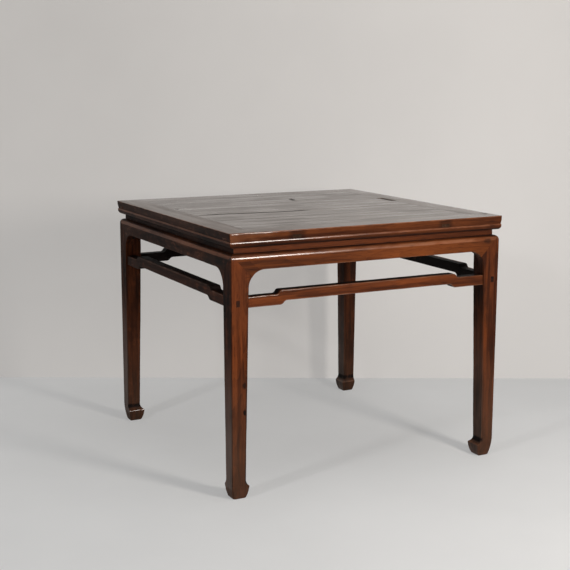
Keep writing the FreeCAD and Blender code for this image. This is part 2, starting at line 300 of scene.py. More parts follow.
print("three rings of four points take %d faces" % sum(len(block) for block in skin(np.zeros((3, 4, 3)))))

# %% A tongue of wood
TONGUE_STEPS = np.array([0.0, 0.5, 0.95, 0.99, 0.995, 1.0])
TONGUE_END_EASE = np.array([0.0, 0.0, 0.0, 0.0, 0.08, 0.4])
TONGUE_EASE = 0.5


def oblong(low, high):
    """Four corners of an oblong, from its lowest and highest corner."""
    return np.array([[low[0], low[1]], [high[0], low[1]], [high[0], high[1]], [low[0], high[1]]])


def tongue(ends, low, high):
    """Square tongue between two stations, eased at its far end; low and high are its corners in v and z."""
    s = ends[0] + (ends[1] - ends[0]) * TONGUE_STEPS
    corners = carried(oblong(low, high), s)
    section, worn, _ = eased_section(corners, np.full(corners.shape[:2], TONGUE_EASE), [0, 0, 0, 0])
    section = drawn_in(section, TONGUE_END_EASE)
    along = np.broadcast_to(s[:, None, None], section.shape[:2] + (1,))
    return np.concatenate([along, section], axis=2), worn


print("a tongue has %d rings" % len(TONGUE_STEPS))

# %% [markdown]
# ## From arrays to a piece
# Blender takes a mesh as a list of points and a list of faces. Five things travel with the points as
# attributes: where the point lies in its own plank, so that the grain runs the right way and no two
# planks match; how worn it is, which also marks the painted highlights; how much old wax and painted shade
# darken it; how far daylight and dust have greyed it, which also marks painted light from the floor; and how
# well hands have polished it. The place of the piece is in its points, so the object itself stays at the origin.

# %% Make a mesh from shells
BODY = "root"
SMOOTH_LIMIT = math.radians(38.0)
PLANK_SHIFT = np.array([3.1, 1.7, 2.3])
MASKS = ("worn", "waxed", "bleached", "polished")
MERGE_WITHIN, SLIVER = 2e-6, 1e-6
made, planks = {}, {}


def turned(points, quarters):
    """Quarter turns about the upright axis: each sends (x, y) to (-y, x)."""
    x, y, z = points.T
    for _ in range(quarters):
        x, y = -y, x
    return np.stack([x, y, z], axis=1)


def add_piece(name, shells, slot, quarters=0):
    """Mesh of closed shells, turned into place, that rides on the table and stands for its solid."""
    planks[name] = len(made) + 1
    faces, start = [], 0
    for part in shells:
        faces += [face for block in part[1] for face in (block + start).tolist()]
        start += len(part[0])
    points, grain, *masks = (np.concatenate([part[n] for part in shells]) for n in (0, 2, 3, 4, 5, 6))
    mesh = bpy.data.meshes.new("dressed_" + name)
    mesh.from_pydata((turned(points, quarters) * MM).tolist(), [], faces)
    shifted = grain * MM + PLANK_SHIFT * planks[name]
    mesh.attributes.new("grain", "FLOAT_VECTOR", "POINT").data.foreach_set("vector", shifted.ravel())
    for mask, values in zip(MASKS, masks):
        mesh.attributes.new(mask, "FLOAT", "POINT").data.foreach_set("value", values)
    joined = bmesh.new()
    joined.from_mesh(mesh)
    bmesh.ops.remove_doubles(joined, verts=joined.verts, dist=MERGE_WITHIN)
    bmesh.ops.dissolve_degenerate(joined, edges=joined.edges, dist=SLIVER)
    open_edges = sum(len(e.link_faces) != 2 for e in joined.edges)
    joined.to_mesh(mesh)
    joined.free()
    mesh.polygons.foreach_set("use_smooth", np.ones(len(mesh.polygons), bool))
    mesh.set_sharp_from_angle(angle=SMOOTH_LIMIT)
    piece = bpy.data.objects.new("dressed_" + name, mesh)
    bpy.context.scene.collection.objects.link(piece)
    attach(piece, BODY)
    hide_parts(name)
    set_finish(piece, slot)
    made[name] = piece
    print("%s: %d faces, %d open edges" % (name, len(mesh.polygons), open_edges))


print("every point carries a place in its plank and", ", ".join(MASKS))

# %% [markdown]
# ## The frame of the top
# Four wide rails are mitred round the boards. Their edge is moulded: a fascia that leans inwards, a fine
# ledge, and a round that tucks under. The section is carried along the rail, and near the ends each point
# is pulled back by its own distance from the edge, which cuts the mitre. Hands have worn this piece most:
# its arris is rubbed unevenly, one length of it is chipped, and the tips of the mitres are blunt.

# %% The moulded edge
FASCIA_DEPTH, FASCIA_LEAN, LEDGE_EDGE, MOULDING_FOOT = 27.0, 5.5, 3.2, 11.0
FASCIA_FOOT = TABLE_TOP - FASCIA_DEPTH
BEAD_DROP, BEAD_POINTS, ROUND_POINTS = 6.0, 8, 5


def round_moulding():
    """Bead and round under the fascia: a quarter of an ellipse, then an arc that leaves it straight down."""
    quarter = np.linspace(0.0, np.pi / 2, BEAD_POINTS)
    bead_in = FASCIA_LEAN - (FASCIA_LEAN - LEDGE_EDGE) * np.sin(quarter)
    bead_height = FASCIA_FOOT - BEAD_DROP * (1 - np.cos(quarter))
    across, drop = MOULDING_FOOT - LEDGE_EDGE, FASCIA_FOOT - BEAD_DROP - FRAME_UNDER
    radius = (across ** 2 + drop ** 2) / (2.0 * across)
    angle = np.linspace(0.0, math.asin(drop / radius), ROUND_POINTS + 2)[1:-1]
    round_in = LEDGE_EDGE + radius * (1 - np.cos(angle))
    round_height = bead_height[-1] - radius * np.sin(angle)
    return np.stack([np.append(bead_in, round_in), np.append(bead_height, round_height)], axis=1)


FRAME_EDGE = np.concatenate([
    [[FRAME_WIDTH, FRAME_UNDER], [FRAME_WIDTH, TABLE_TOP], [0.0, TABLE_TOP]],
    round_moulding(), [[MOULDING_FOOT, FRAME_UNDER]],
])
INNER_TOP, ARRIS, LEDGE = 1, 2, 3
BEAD_END = LEDGE + BEAD_POINTS - 1
print("frame section: %d corners" % len(FRAME_EDGE))

# %% The section along a frame member
CHIP, HAND_WORN = (-412.0, -364.0), (-560.0, -330.0)
BACK_EASE, INNER_EASE, SEAM_EASE = 1.2, 0.4, 0.35
ARRIS_EASE, SLOW_CHANGE, QUICK_CHANGE, CHIP_EASE, HAND_EASE = 3.6, 1.5, 0.8, 5.0, 3.0


def frame_section(side, s, seed):
    """Section of a frame member at each station: its arris is eased by a wandering width, and more where worn.

    Returns the section, its wear, its corner numbers, and how chipped and how hand worn each station is.
    """
    chip = bump(s, *CHIP, 12.0) if side == "right" else 0.0 * s
    hands = bump(s, *HAND_WORN, 60.0) if side == "front" else 0.0 * s
    corners = carried(FRAME_EDGE, s)
    eases = np.zeros(corners.shape[:2])
    eases[:, [0, -1]], eases[:, INNER_TOP] = BACK_EASE, INNER_EASE
    eases[:, ARRIS] = ARRIS_EASE + SLOW_CHANGE * wander(s, seed, 300.0)
    eases[:, ARRIS] += QUICK_CHANGE * wander(s, seed + 1, 60.0)
    eases[:, ARRIS] += CHIP_EASE * chip + hands * (HAND_EASE + HAND_EASE * wander(s, seed + 2, 120.0))
    fills = [1, 16, 4] + [-1] * (BEAD_POINTS + ROUND_POINTS) + [3]
    section, worn, owner = eased_section(corners, eases, fills)
    section = drawn_in(section, SEAM_EASE * np.clip(1 - (HALF - np.abs(s)) / 0.8, 0, 1))
    return section, worn, owner, chip[:, None], hands[:, None]


print("the arris is chipped over %.0f mm and hand worn over %.0f mm" % (
    CHIP[1] - CHIP[0], HALF + HAND_WORN[1]))

# %% Mitred ends, blunt tips and tenons
MITRE_REACH, PROUD = 100.0, 0.35
TIP_WORN, RIGHT_TIP_WORN, TIP_SOFTNESS = 5.0, 7.0, 2.0


def mitred(s, v):
    """Place along a side: within MITRE_REACH of its end, s is drawn back to end at the edge less v."""
    end = np.clip((np.abs(s) - (HALF - MITRE_REACH)) / MITRE_REACH, 0, 1)[:, None]
    return np.sign(s)[:, None] * (np.abs(s)[:, None] - end * v)


def blunted(rings, place):
    """Rings with worn tips: a point nearer to the tip than its reach moves in along the mitre."""
    reach = np.where((place[..., 0] > 0) & (place[..., 1] < 0), RIGHT_TIP_WORN, TIP_WORN)
    short = reach - (2 * HALF - np.abs(rings[..., 0]) + rings[..., 1])
    inwards = (np.sqrt(short ** 2 + TIP_SOFTNESS ** 2) + short) / 4
    return rings + np.stack([-np.sign(rings[..., 0]) * inwards, inwards, 0 * inwards], axis=2)


def fascia_tenon(sign, start, corners):
    """Tongue out to the edge of the top, its far end cut along the lean of the fascia and a hair proud."""
    rings, worn = tongue((sign * start, sign * HALF), *corners)
    lean = FASCIA_LEAN * (TABLE_TOP - rings[..., 2]) / (TABLE_TOP - FASCIA_FOOT) - PROUD
    out = (np.abs(rings[..., 0]) - start) / (HALF - start)
    return np.stack([rings[..., 0] - sign * lean * out, rings[..., 1], rings[..., 2]], axis=2), worn


print("tips of the mitres worn by %.0f mm, and by %.0f mm at the right" % (TIP_WORN, RIGHT_TIP_WORN))

# %% [markdown]
# ## How the frame has aged
# Paint could hide the same history in a texture, but here every point knows which corner or face it is on, so
# wear, wax, bleaching and polish are worked out beside the shape. Shade is painted in too: the left side, which
# faces away from the main lamp, is painted darker and keeps less pale wear and polish, and the front is painted
# darker towards its right end.

# %% Masks of a frame member
# The left side is painted as in shade: darker, with less of its pale wear and polish; the front is painted darker
# towards its right end.
SHADED_POLISH, SHADED_WEAR, SHADED_WAX, OLDER_WAX = 0.2, 0.4, 0.75, 0.25
LEFT_DULLING, CORNER_DULLING = 0.25, 0.35
# The corner value paints shade into the chip and under the round.
SEAM_WAX, CORNER_WAX, STAIN_WAX, SLOT_WAX = 0.6, 0.8, 0.65, 1.6
# The bead is painted paler as a highlight, and the left end of the fascia paler as light.
BEAD_WEAR, HAND_WEAR, ARRIS_POLISH, ARRIS_BLEACH = 0.7, 0.6, 0.35, 0.4
STAIN_REACH, STAIN_EDGE = 40.0, 24.0


def shaded(side, share):
    """Share of wear or polish that a side keeps: all of it, but less on the left one, which is painted as in
    shade.
    """
    return share if side == "left" else 1.0


def dulled_side(side, s):
    """Painted shade all over a side: most on the left one, and on the front one more towards its right end."""
    if side == "front":
        return OLDER_WAX * np.clip(0.5 + s / HALF, 0, 1)[:, None] ** 2
    return np.full((len(s), 1), SHADED_WAX if side == "left" else 0.0)


def frame_masks(side, s, section, place, worn, owner, chip, hands):
    """Wear, wax, bleaching and polish of a frame member, by the corner, face or length a point is on.

    The arris is rubbed and polished; the bead is polished and painted paler as a highlight, and the fascia is
    painted paler towards its left end as light. The top is bleached, and less polished towards the near corner.
    Wax lies in seams and at the ends of the braces, and shade is painted into the chip and under the round.
    """
    v, z = section[..., 0], section[..., 1]
    top, on_arris = z > TABLE_TOP - 1, owner == ARRIS
    on_bead, in_seam = (owner > LEDGE) & (owner < BEAD_END), np.isin(owner, (INNER_TOP, LEDGE))
    fascia = (z > FASCIA_FOOT - 1) & (z < TABLE_TOP - 3) & (v < 10)
    # Painted highlight on the bead, less on the left side.
    wear = np.where(on_bead, BEAD_WEAR, np.where(in_seam, 0.0, worn)) * shaded(side, SHADED_WEAR)
    # Painted light on the fascia towards its left end.
    wear = np.maximum(wear, HAND_WEAR * fascia * hands)
    # Painted shade under the round and in the chip.
    tucked = CORNER_WAX * np.clip((owner - BEAD_END) / (ROUND_POINTS - 1), 0, 1)
    wax = SEAM_WAX * in_seam + CORNER_WAX * chip * on_arris
    # Painted side shade, kept off the top and the bead.
    wax = np.maximum(wax, np.maximum(dulled_side(side, s) * ~top * ~on_bead, tucked))
    if side in ("front", "back"):
        stain = bump(np.abs(s), BRACE_PLACE - STAIN_REACH, BRACE_PLACE + STAIN_REACH, STAIN_EDGE)
        wax = np.maximum(wax, STAIN_WAX * stain[:, None] * fascia)
    to_corner = np.clip(-(place[..., 0] + place[..., 1]) / (2 * HALF), 0, 1)
    kept = 1 - LEFT_DULLING * (side == "left") - CORNER_DULLING * to_corner ** 2
    polish = np.maximum(on_bead * shaded(side, SHADED_POLISH), kept * (top & (owner != INNER_TOP)))
    polish = np.where(on_arris, worn * (ARRIS_POLISH + (1 - ARRIS_POLISH) * hands), polish)
    return wear, wax, top * np.where(on_arris, ARRIS_BLEACH, 1.0), polish


print("the left side keeps %.0f percent of its polish" % (100 * SHADED_POLISH))

# %% Build the four frame members
CORNER_TENON = ((28.0, FRAME_UNDER + 20.5), (58.0, FRAME_UNDER + 28.0))
SLOT, SLOT_DEPTH, SLOT_IN_FRAME, SLOT_IN_BOARD = (48.0, 152.0), 9.0, 12.5, 10.5
SLOT_EDGE, SLOT_SLOPE = 6.0, 3.0
TENON_WEAR, TENON_WAX = 0.3, 0.5


def sunk(along, within):
    """How far a point has sunk into the worn slot, 0 to 1, by its place along it and its distance within."""
    return bump(along, *SLOT, SLOT_EDGE) * np.clip(within / SLOT_SLOPE, 0, 1)


def frame_member(side, quarters, seed):
    """Frame section carried along the rail, mitred, blunted at the tips and planed with the boards."""
    s = both_ways(np.concatenate([np.linspace(0, HALF - 10, 99), HALF - np.array([6, 3, 1, 0.5, 0])]))
    section, worn, owner, chip, hands = frame_section(side, s, seed)
    v, z = section[..., 0], section[..., 1]
    x = mitred(s, v)
    rings = np.stack([x, v - HALF, z], axis=2)
    place = turned(rings.reshape(-1, 3), quarters).reshape(rings.shape)
    wear, wax, bleach, polish = frame_masks(side, s, section, place, worn, owner, chip, hands)
    rings = blunted(rings, place)
    rings[..., 2] += np.where(z > TABLE_TOP - 1, planed(place[..., 0], place[..., 1]), 0.0)
    if side == "right":
        slot = sunk(s[:, None], v - FRAME_WIDTH + SLOT_IN_FRAME) * (z > TABLE_TOP - SLOT_DEPTH)
        rings[..., 2] -= SLOT_DEPTH * slot
        wax = np.maximum(wax, SLOT_WAX * slot)
    parts = [shell(rings, np.stack([x, v, z], axis=2), wear, wax, bleach, polish)]
    for sign in (-1.0, 1.0) if side in ("front", "back") else ():
        ends, worn = fascia_tenon(sign, HALF - FRAME_WIDTH / 2, CORNER_TENON)
        parts.append(shell(ends - np.array([0, HALF, 0]), ends, worn * TENON_WEAR, TENON_WAX))
    add_piece("frame_" + side, parts, "frame_wood", quarters)


for number, side in enumerate(SIDES):
    frame_member(side, number, 20 + 3 * number)

# %% [markdown]
# ## The boards of the panel
# Four boards lie side by side inside the frame, free to swell and shrink. They are not glued, so the
# seams open and close with the seasons, and one has stayed open. Each board is a section across the
# table carried along X, and its top follows the same planed surface as the frame.

# %% Seams between the boards
BOARD_GAP, SEAM_GAP = 0.5, 0.3
OPEN_SEAM, OPEN_FROM, OPEN_TO, OPEN_BY = 2, -430.0, 10.0, 2.0
OPEN_EDGE, SNAKING_BY, SNAKING_LENGTH = 60.0, 14.0, 160.0
SEAM_UNEVEN, OPEN_UNEVEN = 0.08, 0.8


def seam_line(number):
    """Middle of the seam in front of a board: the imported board's edge, less half the gap."""
    return round(set_out("panel_board_%d" % number)[0] - HALF - SEAM_GAP / 2, 2)


SEAMS = (BOARD_GAP - OPENING, seam_line(2), seam_line(3), seam_line(4), OPENING - BOARD_GAP)


def snaking(number, x):
    """Middle line of a seam: straight, but for the open one, whose bend rises, crosses over and dies away."""
    u = (x - (OPEN_FROM + OPEN_TO) / 2) / SNAKING_LENGTH
    return SEAMS[number] - SNAKING_BY * (number == OPEN_SEAM) * u * np.exp((1 - u ** 2) / 2)


def seam_edge(number, x, towards):
    """Edge of a board along a seam: its line, half its gap and a slow wander, both more where it is open."""
    if number in (0, len(SEAMS) - 1):
        return np.full_like(x, SEAMS[number])
    opened = bump(x, OPEN_FROM, OPEN_TO, OPEN_EDGE) * (number == OPEN_SEAM)
    half_gap = SEAM_GAP / 2 + OPEN_BY * opened
    uneven = (SEAM_UNEVEN + OPEN_UNEVEN * opened) * wander(x, 60 + number, 200.0)
    return snaking(number, x) + towards * half_gap + uneven


print("seams at", ", ".join("%.1f" % line for line in SEAMS), "mm")

# %% Build the four boards
BOARD_EASE, BOARD_FILL, SLOT_BOARD = 0.35, 8.0, 3
SEAM_TONGUE_HALF, SEAM_TONGUE_LEVELS = 6.0, (PANEL_UNDER + 4.0, PANEL_UNDER + 8.0)
CRACK_WAX, CRACK_WIDTH, EDGE_WAX = 1.2, 13.0, 0.4


def seam_tongue():
    """Dark tongue that shows in the open seam: an oblong that follows the seam and bridges its gap."""
    x = np.linspace(OPEN_FROM + 20, OPEN_TO + 40, 60)
    middle = snaking(OPEN_SEAM, x)[:, None] + SEAM_TONGUE_HALF * np.array([-1.0, 1.0, 1.0, -1.0])
    height = np.broadcast_to(np.repeat(SEAM_TONGUE_LEVELS, 2), middle.shape)
    rings = np.stack([np.broadcast_to(x[:, None], middle.shape), middle, height], axis=2)
    return shell(rings, rings, 0.0, CRACK_WAX)


def panel_board(number):
    """Section of the board, carried along X, with its top on the planed surface."""
    end = OPENING - BOARD_GAP
    closer = end - np.array([11, 10, 9, 7, 5, 3, 1.2, 0.6, 0])
    x = both_ways(np.concatenate([np.linspace(0, end - 13, 70), closer]))
    front, rear = seam_edge(number - 1, x, 1.0), seam_edge(number, x, -1.0)
    corners = corners_of((front, PANEL_UNDER), (rear, PANEL_UNDER), (rear, TABLE_TOP), (front, TABLE_TOP))
    across = int((SEAMS[number] - SEAMS[number - 1]) / BOARD_FILL)
    section, _, owner = eased_section(corners, np.full(corners.shape[:2], BOARD_EASE), [3, 0, across, 0])
    section = drawn_in(section, BOARD_EASE * np.clip(1 - (end - np.abs(x)) / 1.2, 0, 1) ** 2)
    y, z = section[..., 0], section[..., 1]
    along = np.broadcast_to(x[:, None], y.shape)
    top = z > TABLE_TOP - 2.0
    slot = sunk(y, along - end + SLOT_IN_BOARD) * (number == SLOT_BOARD)
    z = z + np.where(top, planed(along, y) - SLOT_DEPTH * slot, 0.0)
    rings = np.stack([along, y, z], axis=2)
    near_seam = np.clip(1 - np.abs(y - snaking(OPEN_SEAM, along)) / CRACK_WIDTH, 0, 1)
    crack = bump(along, OPEN_FROM, OPEN_TO, OPEN_EDGE) * near_seam
    wax = np.maximum(EDGE_WAX * (owner >= 2), np.maximum(SLOT_WAX * slot, CRACK_WAX * crack) * top)
    parts = [shell(rings, rings, 0.0, wax, top * 1.0, top & (owner < 2))]
    if number == OPEN_SEAM:
        parts.append(seam_tongue())
    add_piece("panel_board_%d" % number, parts, "panel_wood")


for number in range(1, len(SEAMS)):
    panel_board(number)

# %% [markdown]
# ## The waist
# Under the frame a narrow strip is set back on every side, which lightens the look of the heavy top. It is
# a plain strip mitred at the corners, so it is the simplest section of all, and both its edges are painted dark as
# shade.

# %% Build the four waist strips
WAIST_WAX, WAIST_UNEVEN = 1.4, 0.2


def waist_strip(side, quarters):
    """Flat strip carried along the side, each point ending at the edge less its own distance inwards."""
    s = both_ways(np.linspace(0, HALF, 46))
    corners = carried([
        [APRON_BACK, APRON_TOP], [APRON_BACK, FRAME_UNDER], [WAIST_FACE, FRAME_UNDER], [WAIST_FACE, APRON_TOP],
    ], s)
    section, _, owner = eased_section(corners, np.zeros(corners.shape[:2]), [0, 0, 3, 0])
    v, z = section[..., 0], section[..., 1]
    v = v + np.where(v < WAIST_FACE + 1, WAIST_UNEVEN * wander(s, 70 + quarters, 240.0)[:, None], 0.0)
    x = s[:, None] * (1.0 - v / HALF)
    rings = np.stack([x, v - HALF, z], axis=2)
    # Both edges of the strip are painted dark as shade, with the painted side shade.
    wax = np.maximum(WAIST_WAX * np.isin(owner, (2, 3)), dulled_side(side, s))
    add_piece("waist_" + side, [shell(rings, np.stack([x, v, z], 2), 0.0, wax)], "waist_wood", quarters)


for number, side in enumerate(SIDES):
    waist_strip(side, number)

# %% [markdown]
# ## The aprons
# The apron is the rail under the waist. Its top edge is rounded over like a shoulder, its ends are cut on a
# mitre that runs down to a curved spandrel, and at the corner two aprons meet in a point. Seen along its
# length the section keeps its kind and changes its size, so it is worked out for every station: the foot
# follows the curve and then the mitre, and the back stops at the diagonal of the corner.

# %% Levels along an apron and along the mitre
SPANDREL_END = LEG_INNER + SPANDREL
MITRE_OFFSET = MITRE_TOP - SPANDREL_END - SPANDREL_FOOT
SPANDREL_TIP = SPANDREL_END + (MITRE_OFFSET - math.sqrt(2 * SPANDREL ** 2 - MITRE_OFFSET ** 2)) / 2
ROUND_START, ROUND_END = APRON_TOP - SHOULDER, LEG_FACE + SHOULDER
CORNER_TIP = LEG_FACE + SHOULDER * (1 - math.sqrt(0.5))


def apron_under(inward):
    """Foot of the apron by distance from the corner: the mitre, then the curve, then level."""
    reach = np.clip(SPANDREL_END - inward, 0.0, SPANDREL)
    curve = SPANDREL_FOOT + np.sqrt(SPANDREL ** 2 - reach ** 2)
    return np.where(inward < SPANDREL_TIP, MITRE_TOP - inward, curve)


print("the mitre meets the curve %.1f mm in from the edge" % SPANDREL_TIP)

# %% The section along an apron
ROUND_CORNERS, POLISHED_UP_TO = 9, 4


def apron_corners(inward, foot):
    """Corners at each station: the foot, an arc over the shoulder, the crest at the back and the back's foot.

    The arc starts where the foot cuts it and stops where the diagonal of the corner does.
    """
    start = np.arcsin(np.clip((foot - ROUND_START) / SHOULDER, 0.0, 1.0))
    stop = np.maximum(start, np.arccos(np.clip((ROUND_END - inward) / SHOULDER, 0.0, 1.0)))
    angles = [start + (stop - start) * share for share in np.linspace(0.0, 1.0, ROUND_CORNERS)]
    arc = [(LEG_FACE + SHOULDER * (1 - np.cos(a)), ROUND_START + SHOULDER * np.sin(a)) for a in angles]
    rear = np.minimum(APRON_BACK, inward)
    return corners_of((arc[0][0], foot), *arc, (rear, arc[-1][1]), (rear, foot))


print("an apron's shoulder has %d corners, polished up to number %d" % (ROUND_CORNERS, POLISHED_UP_TO))

# %% Build the four aprons
# The back of each apron and the inner half of each stretcher are painted dark as shade.
UNWIPED, MITRE_WAX, ABOVE_WAX = 1.1, 0.35, 0.6
# The shoulders of aprons and legs are painted paler as a highlight.
SHOULDER_WEAR, APRON_UNEVEN, BACK_FOOT_EASE = 0.7, 0.35, 1.0
APRON_EASE, APRON_CHANGE, PLAIN_WITHIN, ROOM_WITHIN = 2.0, 0.6, 6.0, 40.0


def apron(side, quarters, seed):
    """Front face, shoulder, top and back round the apron at each station, closing to a point at the corners."""
    s = both_ways(HALF - np.concatenate([
        np.linspace(CORNER_TIP, ROUND_END, 9)[:-1], np.linspace(ROUND_END, SPANDREL_TIP - 1, 16),
        [SPANDREL_TIP - 0.3], np.linspace(SPANDREL_TIP, SPANDREL_END, 22),
        np.linspace(SPANDREL_END + 6, HALF, 56),
    ]))
    inward = HALF - np.abs(s)
    uneven = APRON_UNEVEN * wander(s, seed, 330.0) * bump(inward, SPANDREL_END, 2 * HALF, ROOM_WITHIN)
    corners = apron_corners(inward, apron_under(inward) + uneven)
    plain = np.clip((inward - SPANDREL_TIP) / PLAIN_WITHIN, 0.0, 1.0)
    room = np.clip((inward - CORNER_TIP) / ROOM_WITHIN, 0.0, 1.0)
    eases = np.zeros(corners.shape[:2])
    eases[:, 0] = (SEAM_EASE + (APRON_EASE + APRON_CHANGE * wander(s, seed + 1, 200.0)) * plain) * room
    eases[:, -1] = BACK_FOOT_EASE * plain * room
    section, worn, owner = eased_section(corners, eases, [2] + [-1] * (ROUND_CORNERS - 1) + [0, 0, 1])
    v, z = section[..., 0], section[..., 1]
    along, plain = np.broadcast_to(s[:, None], v.shape), plain[:, None]
    shoulder = (owner > 0) & (owner <= POLISHED_UP_TO)
    # Painted highlight on the front of the shoulder.
    wear = np.maximum(worn * plain, SHOULDER_WEAR * shoulder) * shaded(side, SHADED_WEAR)
    # The upper part of the shoulder, under the waist, is painted dark as shade.
    above = np.clip((owner - POLISHED_UP_TO) / 3.0, 0, 1) * (owner <= ROUND_CORNERS + 1)
    # Painted shade on the back face.
    wax = np.maximum(ABOVE_WAX * above, UNWIPED * (v > APRON_BACK - 4))
    on_mitre = MITRE_WAX * (owner == 0) * (1.0 - plain)
    # The apron gets the same painted side shade, kept off the shoulder.
    wax = np.maximum(wax, np.maximum(on_mitre, dulled_side(side, s) * ~shoulder))
    polish = shoulder * shaded(side, SHADED_POLISH)
    rings, grain = np.stack([along, v - HALF, z], axis=2), np.stack([along, v, z], axis=2)
    add_piece("apron_" + side, [shell(rings, grain, wear, wax, 0.0, polish)], "apron_wood", quarters)


for number, side in enumerate(SIDES):
    apron(side, number, 100 + 3 * number)

# %% [markdown]
# ## The legs
# A leg is square, tapers on its two inner sides and turns inwards at the foot in the shape of a horse's hoof.
# At the top it carries half of each mitre, and behind the aprons a post runs up to the frame. A level slice
# through the leg is always the same outline of eight corners, so slices are stacked from the floor up.
# Where the mitres meet, the slice parts in two, and the post and the pointed corner go on alone.

# %% Outline of a leg by height
ANKLE, ANKLE_INNER = 62.0, 55.0
HOOF_LIP, HOOF_INNER = 41.0, 67.5
FOOT_OUTER, FOOT_INNER = 16.0, 57.0
LIP_DEPTH, LIP_WIDTH = 0.7, 1.3


def tangent_arc(start, end, z):
    """Arc that leaves start straight down or up and passes end, as a distance inwards by height z."""
    across, rise = end[0] - start[0], end[1] - start[1]
    radius = (across ** 2 + rise ** 2) / (2.0 * abs(across))
    drop = np.clip(np.abs(z - start[1]), 0.0, radius)
    return start[0] + math.copysign(1.0, across) * (radius - np.sqrt(radius ** 2 - drop ** 2))


def leg_outer(z):
    """Outer face: straight, tucked in by an arc below the ankle."""
    return np.where(z >= ANKLE, LEG_FACE, tangent_arc((LEG_FACE, ANKLE), (FOOT_OUTER, 0.0), z))


def leg_inner(z):
    """Inner face: upright, tapered, hollowed down to the lip of the hoof, then swelling to the floor."""
    taper = ANKLE_INNER + (LEG_INNER - ANKLE_INNER) * (z - ANKLE) / (SPANDREL_FOOT - ANKLE)
    hollow = tangent_arc((ANKLE_INNER, ANKLE), (HOOF_INNER, HOOF_LIP), z)
    swell = tangent_arc((HOOF_INNER, HOOF_LIP), (FOOT_INNER, 0.0), z)
    lip = LIP_DEPTH * np.exp(-((z - HOOF_LIP) / LIP_WIDTH) ** 2)
    below = np.where(z >= HOOF_LIP, hollow, swell) - lip
    return np.where(z >= SPANDREL_FOOT, LEG_INNER, np.where(z >= ANKLE, taper, below))


def leg_reach(z):
    """How far the leg's face reaches sideways above its inner face: the spandrel curve, then the mitre."""
    curve = SPANDREL_END - np.sqrt(SPANDREL ** 2 - np.clip(z - SPANDREL_FOOT, 0.0, SPANDREL) ** 2)
    return np.minimum(curve, MITRE_TOP - z)


print("hoof: %.1f mm at the ankle, %.1f mm at the lip" % (leg_inner(ANKLE), leg_inner(HOOF_LIP)))

# %% How slices are stacked
MITRE_FOOT = MITRE_TOP - SPANDREL_TIP
CORNER_EASE, CORNER_CHANGE, LEG_WEAR = 2.6, 0.7, 0.25


def corner_ease(z, seed):
    """Easing of the outer corner by height, which wanders a little."""
    return CORNER_EASE + CORNER_CHANGE * wander(z, seed + 1, 260.0)


def stacked(corners, z, eases, fills):
    """Rings of level slices with their wear, painted shoulder highlight, wax and polish: corners are inward
    distances by height.

    The corners beside the outer one are arrises up to the mitre and seams that hold wax above it.
    """
    section, worn, owner = eased_section(corners_of(*corners), np.stack(eases, axis=1), fills)
    height = np.broadcast_to(z[:, None], section.shape[:2])
    seam = np.isin(owner, (1, len(corners) - 1)) & (height > MITRE_FOOT) & (worn > 0)
    # Painted highlight on the shoulder at the top of the leg.
    shoulder = bump(height, ROUND_START - 1, ROUND_START + 11, 2.0)
    worn = np.where(seam, 0.0, np.maximum(LEG_WEAR * worn, SHOULDER_WEAR * shoulder))
    rings = np.concatenate([section, height[..., None]], axis=2)
    return rings, (worn, MITRE_WAX * seam, np.where(seam, 0.0, shoulder))


print("the mitre starts %.1f mm over the floor" % MITRE_FOOT)

# %% Three stacks of slices
PARTING, MITRE_SIDE = MITRE_TOP - APRON_BACK, MITRE_TOP - LEG_INNER
POST_EASE, FOOT_EASE, FOOT_ROUND, HOOF_EASE, LEG_SWAY = 2.0, 1.3, 2.4, 7.0, 0.5
SIDE_EASE, SIDE_CHANGE, POINT_SHARE = 1.8, 0.5, 0.3


def main_stack(seed):
    """The leg from the floor to the parting, with slices closer together where the outline bends."""
    z = np.unique(np.concatenate([
        [0.0, 0.4, 1.2, FOOT_ROUND, 5.0], np.linspace(9, 36, 10), np.linspace(37.5, 45, 16),
        np.linspace(46, ANKLE, 9), np.linspace(68, SPANDREL_FOOT - 4, 60),
        np.linspace(SPANDREL_FOOT, MITRE_FOOT, 14), np.linspace(MITRE_FOOT, MITRE_SIDE, 5),
        np.linspace(MITRE_SIDE, PARTING, 6),
    ]))
    none = np.zeros_like(z)
    foot = FOOT_EASE * (1 - np.clip(z / FOOT_ROUND, 0, 1)) ** 2
    sway = LEG_SWAY * wander(z, seed, 500.0) * bump(z, 70.0, 650.0, 60.0)
    o, post, back = leg_outer(z) + foot, leg_inner(z) - foot + sway, APRON_BACK + none
    reach = np.where(z <= SPANDREL_FOOT, post, leg_reach(z))
    outer = corner_ease(z, seed) + HOOF_EASE * np.clip(1 - z / ANKLE, 0, 1)
    free = np.clip((MITRE_FOOT - z) / 5.0, 0, 1)
    side = SEAM_EASE + (SIDE_EASE + SIDE_CHANGE * wander(z, seed + 2, 260.0)) * free
    corners = [
        (o, o), (reach, o), (reach, back), (post, back),
        (post, post), (back, post), (back, reach), (o, reach),
    ]
    eases = [outer, side, none, none, POST_EASE + none, none, none, side]
    return stacked(corners, z, eases, [4, 1, -1, 1, 1, -1, 1, 4])


def point_stack(seed):
    """The pointed corner between the two mitres, which leans back over the shoulder and ends in nothing."""
    rise = np.linspace(0, SHOULDER * math.sqrt(0.5), 9)[1:]
    z = np.concatenate([np.linspace(PARTING, ROUND_START, 4), ROUND_START + rise])
    none = np.zeros_like(z)
    o = ROUND_END - np.sqrt(SHOULDER ** 2 - np.clip(z - ROUND_START, 0, SHOULDER) ** 2)
    reach = np.maximum(MITRE_TOP - z, o)
    room = POINT_SHARE * (reach - o)
    outer, seam = np.minimum(corner_ease(z, seed), room), np.minimum(SEAM_EASE, room)
    corners = [(o, o), (reach, o), (reach, reach), (o, reach)]
    return stacked(corners, z, [outer, seam, none, seam], [4, 1, 1, 4])


